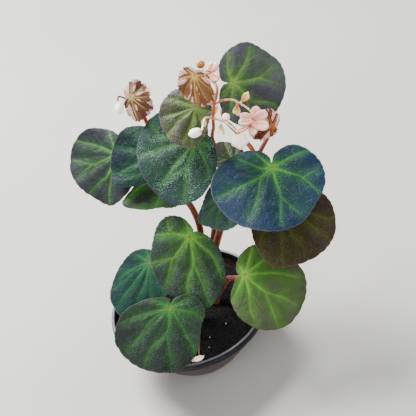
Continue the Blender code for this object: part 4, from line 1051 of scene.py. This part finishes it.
# Flower stalk: a slender red-brown stem that forks twice into paler, pinkish branches, one for each
# flower. A small bract sits at the lower fork, and a cream wing stands on the ovary behind the front bud.
FLOWER_STEM_POINTS = 90
BRANCH_POINTS = 12
FLOWER_STEM_SIDES, BRANCH_SIDES = 14, 12
FLOWER_VOXEL = 0.26 * MM
FLOWER_SMOOTHING = 3
FLOWER_STEM = ((50, 43.5, 153), (49.2, 39.4, 163), (50.2, 36, 171), (51.4, 30.4, 178.5), (52.5, 23.4, 192.3),
               (54.9, 24.3, 201), (57.5, 25.3, 205.5), (59.9, 29.5, 210), (58.6, 35.4, 212.2),
               (56.1, 38.5, 214.3))
PEDICELS = (
    ((52.3, 22.8, 191.9), (49.5, 18.3, 196.5), (46.6, 13.5, 200), (44.4, 9, 198.8), (42.7, 5.2, 197.3)),
    ((52.3, 22.8, 191.9), (57.2, 24.2, 187.2), (61.3, 23.5, 183.3), (66.4, 20.5, 176.7)),
    ((61.3, 23.5, 183.3), (61.3, 25.4, 184.9)),
    ((57.2, 24.2, 187.2), (56.8, 22.9, 185.8)),
    ((54.9, 24.3, 201), (61.5, 34.3, 195.8), (69.3, 39.9, 190), (73.6, 40.5, 185), (78.5, 40, 179),
     (80.6, 38, 172.5), (80.3, 34.1, 173.2)),
    ((73.6, 40.5, 185), (74.5, 40.2, 186)),
    ((71.5, 40.2, 187.5), (71.3, 39.4, 186.8)),
    ((57, 37.4, 213.6), (57.6, 38.5, 214.6)),
    ((56.1, 38.5, 214.3), (54.6, 41.5, 216), (53.8, 43.4, 218.3)),
)
Petal = namedtuple("Petal", "base along facing length width cup")
FRONT_UP = (-0.1, -0.75, 0.65)
STALK_WINGS = (Petal((53.3, 23, 193.6), (0.54, 0.23, 0.81), FRONT_UP, 7.5, 2.8, 0.4),
               Petal((46.8, 14, 200.4), (-0.35, -0.75, -0.35), (0.6, -0.6, 0.5), 7, 4.4, 0.4))
WING_PLUMP = 0.1
PETAL_HALF = 0.28 * MM
PETAL_SIDES = 44
PETAL_RINGS = 9


def petal_shell(shape, plump, first):
    """A petal as points, faces, and each point's share of the way to the tip and to the edge."""
    along = np.array(Vector(shape.along).normalized())
    facing = np.array(shape.facing) - along * (np.array(shape.facing) @ along)
    facing = facing / np.linalg.norm(facing)
    across = np.cross(facing, along)
    base = np.array(shape.base) * MM
    middle = base + along * 0.5 * shape.length * MM
    thick = facing * (PETAL_HALF + plump * MM)
    points, tips, edges = [middle + thick], [0.5], [0]
    rings = [(number + 1) / PETAL_RINGS for number in range(PETAL_RINGS)]
    for share, half in [(ring, 1) for ring in rings] + [(ring, -1) for ring in reversed(rings)]:
        for number in range(PETAL_SIDES):
            turn = 2 * math.pi * number / PETAL_SIDES
            forward = 0.5 - 0.49 * math.cos(turn) * share
            sideways = 0.49 * math.sin(turn) * share * (0.7 + 0.45 * forward)
            rise = shape.cup * MM * ((2 * forward - 1) ** 2 + (2 * sideways) ** 2)
            rise += 0.3 * MM * share * noise.noise(Vector((forward * 2.4, sideways * 3.5, shape.length)))
            rise -= 0.4 * plump * MM * math.exp(-((sideways - 0.06) / 0.07) ** 2) * min(1, 2 * forward)
            rise += half * (PETAL_HALF * (1 - 0.75 * share ** 6) + plump * MM * math.sqrt(1 - share ** 2))
            points.append(base + (along * forward * shape.length + across * sideways * shape.width) * MM
                          + facing * rise)
            tips.append(forward)
            edges.append(share)
    faces = shell_faces(2 * PETAL_RINGS, PETAL_SIDES, first)
    return points + [middle - thick], faces, tips + [0.5], edges + [0]


def put_outward(piece):
    """Turn every shell of a piece to face outwards."""
    maker = bmesh.new()
    maker.from_mesh(piece.data)
    bmesh.ops.recalc_face_normals(maker, faces=maker.faces)
    maker.to_mesh(piece.data)
    maker.free()


def petal_piece(name, points, faces, material, tips, edges):
    """A piece in petal skin, with the two layers that the skin is tinted by."""
    piece = new_piece(name, points, faces, material)
    set_layer(piece, "tip", tips)
    set_layer(piece, "edge", edges)
    put_outward(piece)
    return piece


def make_petals(name, petals, material, plump):
    """Some petals as one piece."""
    points, faces, tips, edges = [], [], [], []
    for shape in petals:
        for whole, more in zip((points, faces, tips, edges), petal_shell(shape, plump, len(points))):
            whole += more
    return petal_piece(name, points, faces, material, tips, edges)


def petal_skin(name, base, middle, tip, streak):
    """Waxy, slightly see-through petal skin, tinted from its base to its tip and finely streaked."""
    material, tree, shader, spot = new_finish(name)
    tip_share = put(tree, "ShaderNodeAttribute", attribute_name="tip").outputs["Fac"]
    edge_share = put(tree, "ShaderNodeAttribute", attribute_name="edge").outputs["Fac"]
    tone = put(tree, "ShaderNodeValToRGB", {"Fac": tip_share}, stops=[(0, base), (0.26, middle), (1, tip)])
    streaks = put(tree, "ShaderNodeTexNoise", {"Vector": spot, "Scale": 1 / 0.0011, "Detail": 3.0})
    fine = put(tree, "ShaderNodeMapRange", {"Value": streaks, "From Min": 0.52, "From Max": 0.7,
                                            "To Max": 0.36})
    rim = put(tree, "ShaderNodeMapRange", {"Value": edge_share, "From Min": 0.86, "To Max": 0.35})
    for share in (fine, rim):
        tone = put(tree, "ShaderNodeMix", {FACTOR: share, FIRST: tone, SECOND: paint(streak)},
                   data_type="RGBA")
    relief = put(tree, "ShaderNodeBump", {"Strength": 0.2, "Distance": 0.3 * MM, "Height": streaks})
    put(tree, shader, {"Base Color": tone, "Roughness": 0.45, "IOR": 1.4, "Subsurface Weight": 0.4,
                       "Subsurface Scale": 1.0, "Subsurface Radius": (3 * MM, 2 * MM, 1.6 * MM),
                       "Normal": relief})
    return material


# Flower stem skin: smooth, red-brown where it is thick and cream flushed with pink where it is thin.
flower_stem_skin, tree, shader, spot = new_finish("flower_stem_skin")
outward = put(tree, "ShaderNodeAttribute", attribute_name="outward").outputs["Fac"]
mottle = put(tree, "ShaderNodeTexNoise", {"Vector": spot, "Scale": 1 / 0.004, "Detail": 3.0})
shift = put(tree, "ShaderNodeMath", {0: outward, 1: mottle}, operation="ADD")
spread = put(tree, "ShaderNodeMapRange", {"Value": shift, "From Min": 0.4, "From Max": 1.6})
tone = put(tree, "ShaderNodeValToRGB", {"Fac": spread},
           stops=[(0.0, "95512d"), (0.35, "ae6e43"), (0.65, "ecd0ac"), (1.0, "fbeedd")])
put(tree, shader, {"Base Color": tone, "Roughness": 0.4, "Subsurface Weight": 0.15,
                   "Subsurface Radius": (2 * MM, 1 * MM, 0.8 * MM)})

stem_line = smooth_line(np.array(FLOWER_STEM) * MM, FLOWER_STEM_POINTS)
tubes = [(stem_line, np.linspace(1.3, 0.9, FLOWER_STEM_POINTS) * MM, FLOWER_STEM_SIDES)]
outs = [(stem_line, np.clip(np.linspace(-0.3, 0.4, FLOWER_STEM_POINTS), 0, 1))]
for points in PEDICELS:
    branch = smooth_line(np.array(points) * MM, BRANCH_POINTS * (len(points) - 1))
    tubes.append((branch, np.linspace(0.85, 0.65, len(branch)) * MM, BRANCH_SIDES))
    outs.append((branch, np.linspace(0.3, 1.2, len(branch))))
stalk = fused("flower_stem", tubes, FLOWER_VOXEL, FLOWER_SMOOTHING, flower_stem_skin)
layer_by_line(stalk, "outward", outs)
wing_skin = petal_skin("cream_wing_skin", "c98a52", "ddb27c", "e6cba4", "b97a48")
wings = make_petals("stalk_wings", STALK_WINGS, wing_skin, WING_PLUMP)
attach(stalk, "root")
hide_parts("flower_stalk")
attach(wings, "root")

# Blooms: small open flowers of rounded, waxy petals, white flushed with pink, round a small core, and
# two seed pods with papery orange wings. Each grows on the end of its own branch of the stalk. The open
# flowers' petals darken to red-brown at the foot: partly their own pink flush, partly painted shade deep
# among the crowded petals and round the core.
CORE_SIDES = 24
CORE_RINGS = 16
# The core takes its skin's colour near the petal foot, which for the white-pink flowers is partly painted
# shade.
CORE_TINT = 0.2
# Petal feet of this skin are dark red-brown: partly pink flush, partly painted shade in the flower's middle.
white_pink = petal_skin("white_pink_petal_skin", "74301f", "e8a890", "fbd8ca", "c0705a")
cream = petal_skin("cream_bract_skin", "c2854e", "dcb684", "e9d3ae", "b07a48")
pod_orange = petal_skin("papery_pod_skin", "ae6636", "cf9a62", "e8cf9e", "a65e36")
Bloom = namedtuple("Bloom", "name skin plump core core_radius petals")
BLOOMS = (
    Bloom("bloom_top", white_pink, 1.9, (58.1, 39.4, 215.4), 1,
          (Petal((58.1, 39.4, 215.6), (0.6, 0.5, 0.6), FRONT_UP, 8.5, 7.8, 1.2),
           Petal((58.1, 39.2, 215.8), (0.5, -0.6, -0.4), FRONT_UP, 7.8, 7.2, 1.2),
           Petal((60, 40, 216), (-0.93, 0.24, 0.27), FRONT_UP, 6, 4.8, 0.8))),
    Bloom("bloom_open", white_pink, 1.9, (79.9, 32.4, 173.6), 1.6,
          (Petal((80.3, 32.4, 173), (0.3, 0.62, 0.71), (0.4, -0.8, 0.5), 10.8, 8.4, 1.2),
           Petal((82, 32.8, 173.6), (-0.85, 0.34, 0.4), (-0.1, -0.95, 0.3), 12.4, 7.2, 1.2),
           Petal((81.4, 31.8, 173.6), (-1, 0.1, 0.1), (-0.1, -0.5, 0.85), 12.6, 6.6, 1.2),
           Petal((81.3, 32.8, 174.6), (-0.4, -0.6, -0.7), (-0.6, -0.6, 0.55), 12.2, 8, 1.2),
           Petal((77, 30.6, 172.3), (-0.95, -0.05, -0.15), FRONT_UP, 10.6, 5, 1),
           Petal((78.3, 32.8, 175.3), (0.99, 0.1, 0.12), (-0.1, -0.95, 0.35), 12.2, 8, 1.2),
           Petal((76.2, 30.2, 173.2), (0.93, -0.24, -0.28), (-0.1, -0.5, 0.85), 13.6, 8.8, 1.2))),
    Bloom("bloom_hanging", cream, 0.4, (56.5, 22.2, 185), 0.8,
          (Petal((56.6, 22.2, 184.9), (-0.02, -0.66, -0.75), (0.3, -0.7, 0.65), 7, 2.6, 0.5),
           Petal((56.4, 22.2, 184.9), (-0.64, -0.5, -0.57), (-0.3, -0.7, 0.65), 5.8, 2.8, 0.5))),
    Bloom("seed_pod_upper", pod_orange, 0.4, (75.3, 40, 186.9), 1,
          (Petal((75.3, 40, 186.9), (0.67, -0.18, 0.72), (-0.5, -0.8, 0.4), 8.5, 5.5, 0.6),
           Petal((75.3, 40, 186.9), (0.75, 0.1, 0.65), (-0.5, 0.1, 0.8), 8, 4, 0.5))),
    Bloom("seed_pod_lower", pod_orange, 0.4, (71.3, 38.4, 185.8), 1,
          (Petal((71.4, 38.4, 185.8), (-0.21, -0.64, -0.74), FRONT_UP, 7.5, 4.2, 0.5),
           Petal((71.2, 38.4, 185.8), (-0.56, -0.54, -0.62), FRONT_UP, 6.5, 3.6, 0.5))),
)


def ball(sides, rings, radius):
    """The points and faces of a round ball at the origin, its poles on Z."""
    maker = bmesh.new()
    bmesh.ops.create_uvsphere(maker, u_segments=sides, v_segments=rings, radius=radius)
    points = [vert.co.copy() for vert in maker.verts]
    faces = [[vert.index for vert in face.verts] for face in maker.faces]
    maker.free()
    return points, faces


for bloom in BLOOMS:
    petals = make_petals(bloom.name + "_petals", bloom.petals, bloom.skin, bloom.plump)
    points, faces = ball(CORE_SIDES, CORE_RINGS, bloom.core_radius * MM)
    points = [point + Vector(bloom.core) * MM for point in points]
    tints, edges = [CORE_TINT] * len(points), [0] * len(points)
    heart = petal_piece(bloom.name + "_heart", points, faces, bloom.skin, tints, edges)
    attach(petals, "root")
    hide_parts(bloom.name)
    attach(heart, "root")

# Buds: two rounded petals still closed face to face, so a fine seam runs round each bud; white, flushed
# pink at the foot and along the seam. One has withered to tan and rolled up.
BUD_SIDES = 56
BUD_RINGS = 40
BUD_ROUND = 0.985
SEAM_WIDTH = 0.07
SEAM_DEPTH = 0.07
bud_white = petal_skin("closed_bud_skin", "e6a88c", "fff2e8", "fffaf4", "f0c8b4")
bud_tan = petal_skin("faded_bud_skin", "9a5c34", "cc8a54", "dcac7c", "7a4022")
# folds is the depth of the creases from a bud's foot, and coil that of the spiral crease of a withered bud.
Bud = namedtuple("Bud", "name middle along facing size folds coil")
BUDS = (
    Bud("bud_large", (66.1, 17.4, 171.5), (-0.05, -0.5, -0.85), (-0.3, -0.75, 0.6), (12.4, 12.8, 9), 0.09, 0),
    Bud("bud_front", (38.1, 4.9, 197), (-1, -0.05, -0.06), (0, -0.8, 0.6), (9.6, 6.6, 5.2), 0.02, 0),
    Bud("bud_small", (61.3, 27, 187), (0, 0.6, 0.8), (-0.2, -0.8, 0.5), (5.4, 5.4, 4.4), 0.02, 0),
    Bud("bud_brown", (53.5, 45.5, 221.2), (-0.1, 0.45, 0.9), (0, -0.8, 0.6), (6, 6.2, 4.8), 0, 0.16),
    Bud("bud_left", (-9, 62.6, 192.6), (-0.1, -0.6, -0.8), (0, -0.8, 0.6), (8.4, 6.4, 5.4), 0.02, 0),
)
for bud in BUDS:
    along = Vector(bud.along).normalized()
    facing = Vector(bud.facing)
    facing = (facing - along * facing.dot(along)).normalized()
    across = facing.cross(along)
    length, width, depth = (side * MM / 2 for side in bud.size)
    points, tips, edges = [], [], []
    round_points, faces = ball(BUD_SIDES, BUD_RINGS, BUD_ROUND)
    for x, y, z in round_points:
        seam = math.exp(-(z / SEAM_WIDTH) ** 2)
        ripple = 1 + 0.012 * noise.noise(Vector((x * 2, y * 5, z * 2 + bud.size[0])))
        turn = math.atan2(y, x)
        corners = 1 - 2 * bud.folds * (0.5 - 0.5 * math.cos(5 * turn))
        flat = (1 - SEAM_DEPTH * seam) * ripple * corners
        crease = bud.folds * math.cos(9 * y + 4 * x * y) * (1 - seam)
        crease += bud.coil * math.sin(turn + 11 * math.hypot(x, y)) * (1 - seam)
        swell = 0.05 * (1 - seam) * (1 - z * z) + crease * (1 - z ** 4) - 0.5 * bud.coil
        height = z + math.copysign(1, z) * swell if abs(z) > 0.05 else z
        points.append(Vector(bud.middle) * MM + flat * (along * x * length + across * y * width)
                      + facing * height * depth)
        tips.append(0.5 + 0.5 * x)
        edges.append(max(seam, 0.86 - 4 * crease) if bud.coil else seam)
    piece = petal_piece(bud.name + "_petals", points, faces, bud_tan if bud.coil else bud_white, tips, edges)
    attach(piece, "root")
    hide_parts(bud.name)

# Fallen flower: two limp petals and their thread of a stalk, dropped on the mix by the rim. One petal is
# still white and the other has gone tan.
# A fallen petal: where its base lies, which way it points, length, width and how far it lies off the mix.
FALLEN_PETALS = (((3.3, -48.8), (-0.97, -0.2, 0), 8.2, 5.4, 1.3),
                 ((1.2, -46.8), (-0.9, -0.45, 0), 8.6, 4.6, 0.6))
FALLEN_CUP = 0.8
FRESH_PLUMP = 0.25
STALE_PLUMP = 0.1
FALLEN_STALK = ((0.5, -47.5), (0, -44), (2.5, -33), (4, -22))
THREAD_LIFT = 0.8 * MM
THREAD_RADIUS = 0.5 * MM
THREAD_POINTS = 50
THREAD_SIDES = 12
wilted_white = petal_skin("wilted_white_petal_skin", "c8a890", "efe4d8", "fbf4ea", "c9a68c")
wilted_tan = petal_skin("wilted_tan_petal_skin", "8c5c3a", "b98658", "cda27a", "7a4c30")
shapes = []
for (x, y), along, length, width, lift in FALLEN_PETALS:
    level = max(soil_height(x * MM, y * MM), soil_height((x - length) * MM, y * MM)) / MM + lift
    shapes.append(Petal((x, y, level), along, (0, 0, 1), length, width, FALLEN_CUP))
fresh = make_petals("fallen_petal_white", shapes[:1], wilted_white, FRESH_PLUMP)
stale = make_petals("fallen_petal_tan", shapes[1:], wilted_tan, STALE_PLUMP)
route = [(x * MM, y * MM, soil_height(x * MM, y * MM) + THREAD_LIFT) for x, y in FALLEN_STALK]
points, faces = tube(smooth_line(route, THREAD_POINTS), [THREAD_RADIUS] * THREAD_POINTS, THREAD_SIDES)
thread = petal_piece("fallen_stalk", points, faces, wilted_tan, [0] * len(points), [0] * len(points))
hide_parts("fallen_flower")
for bit in (fresh, stale, thread):
    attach(bit, "root")

size = {"cad_box": [list(corner) for corner in cad_box],
        "visual_box": [list(corner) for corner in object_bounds()]}
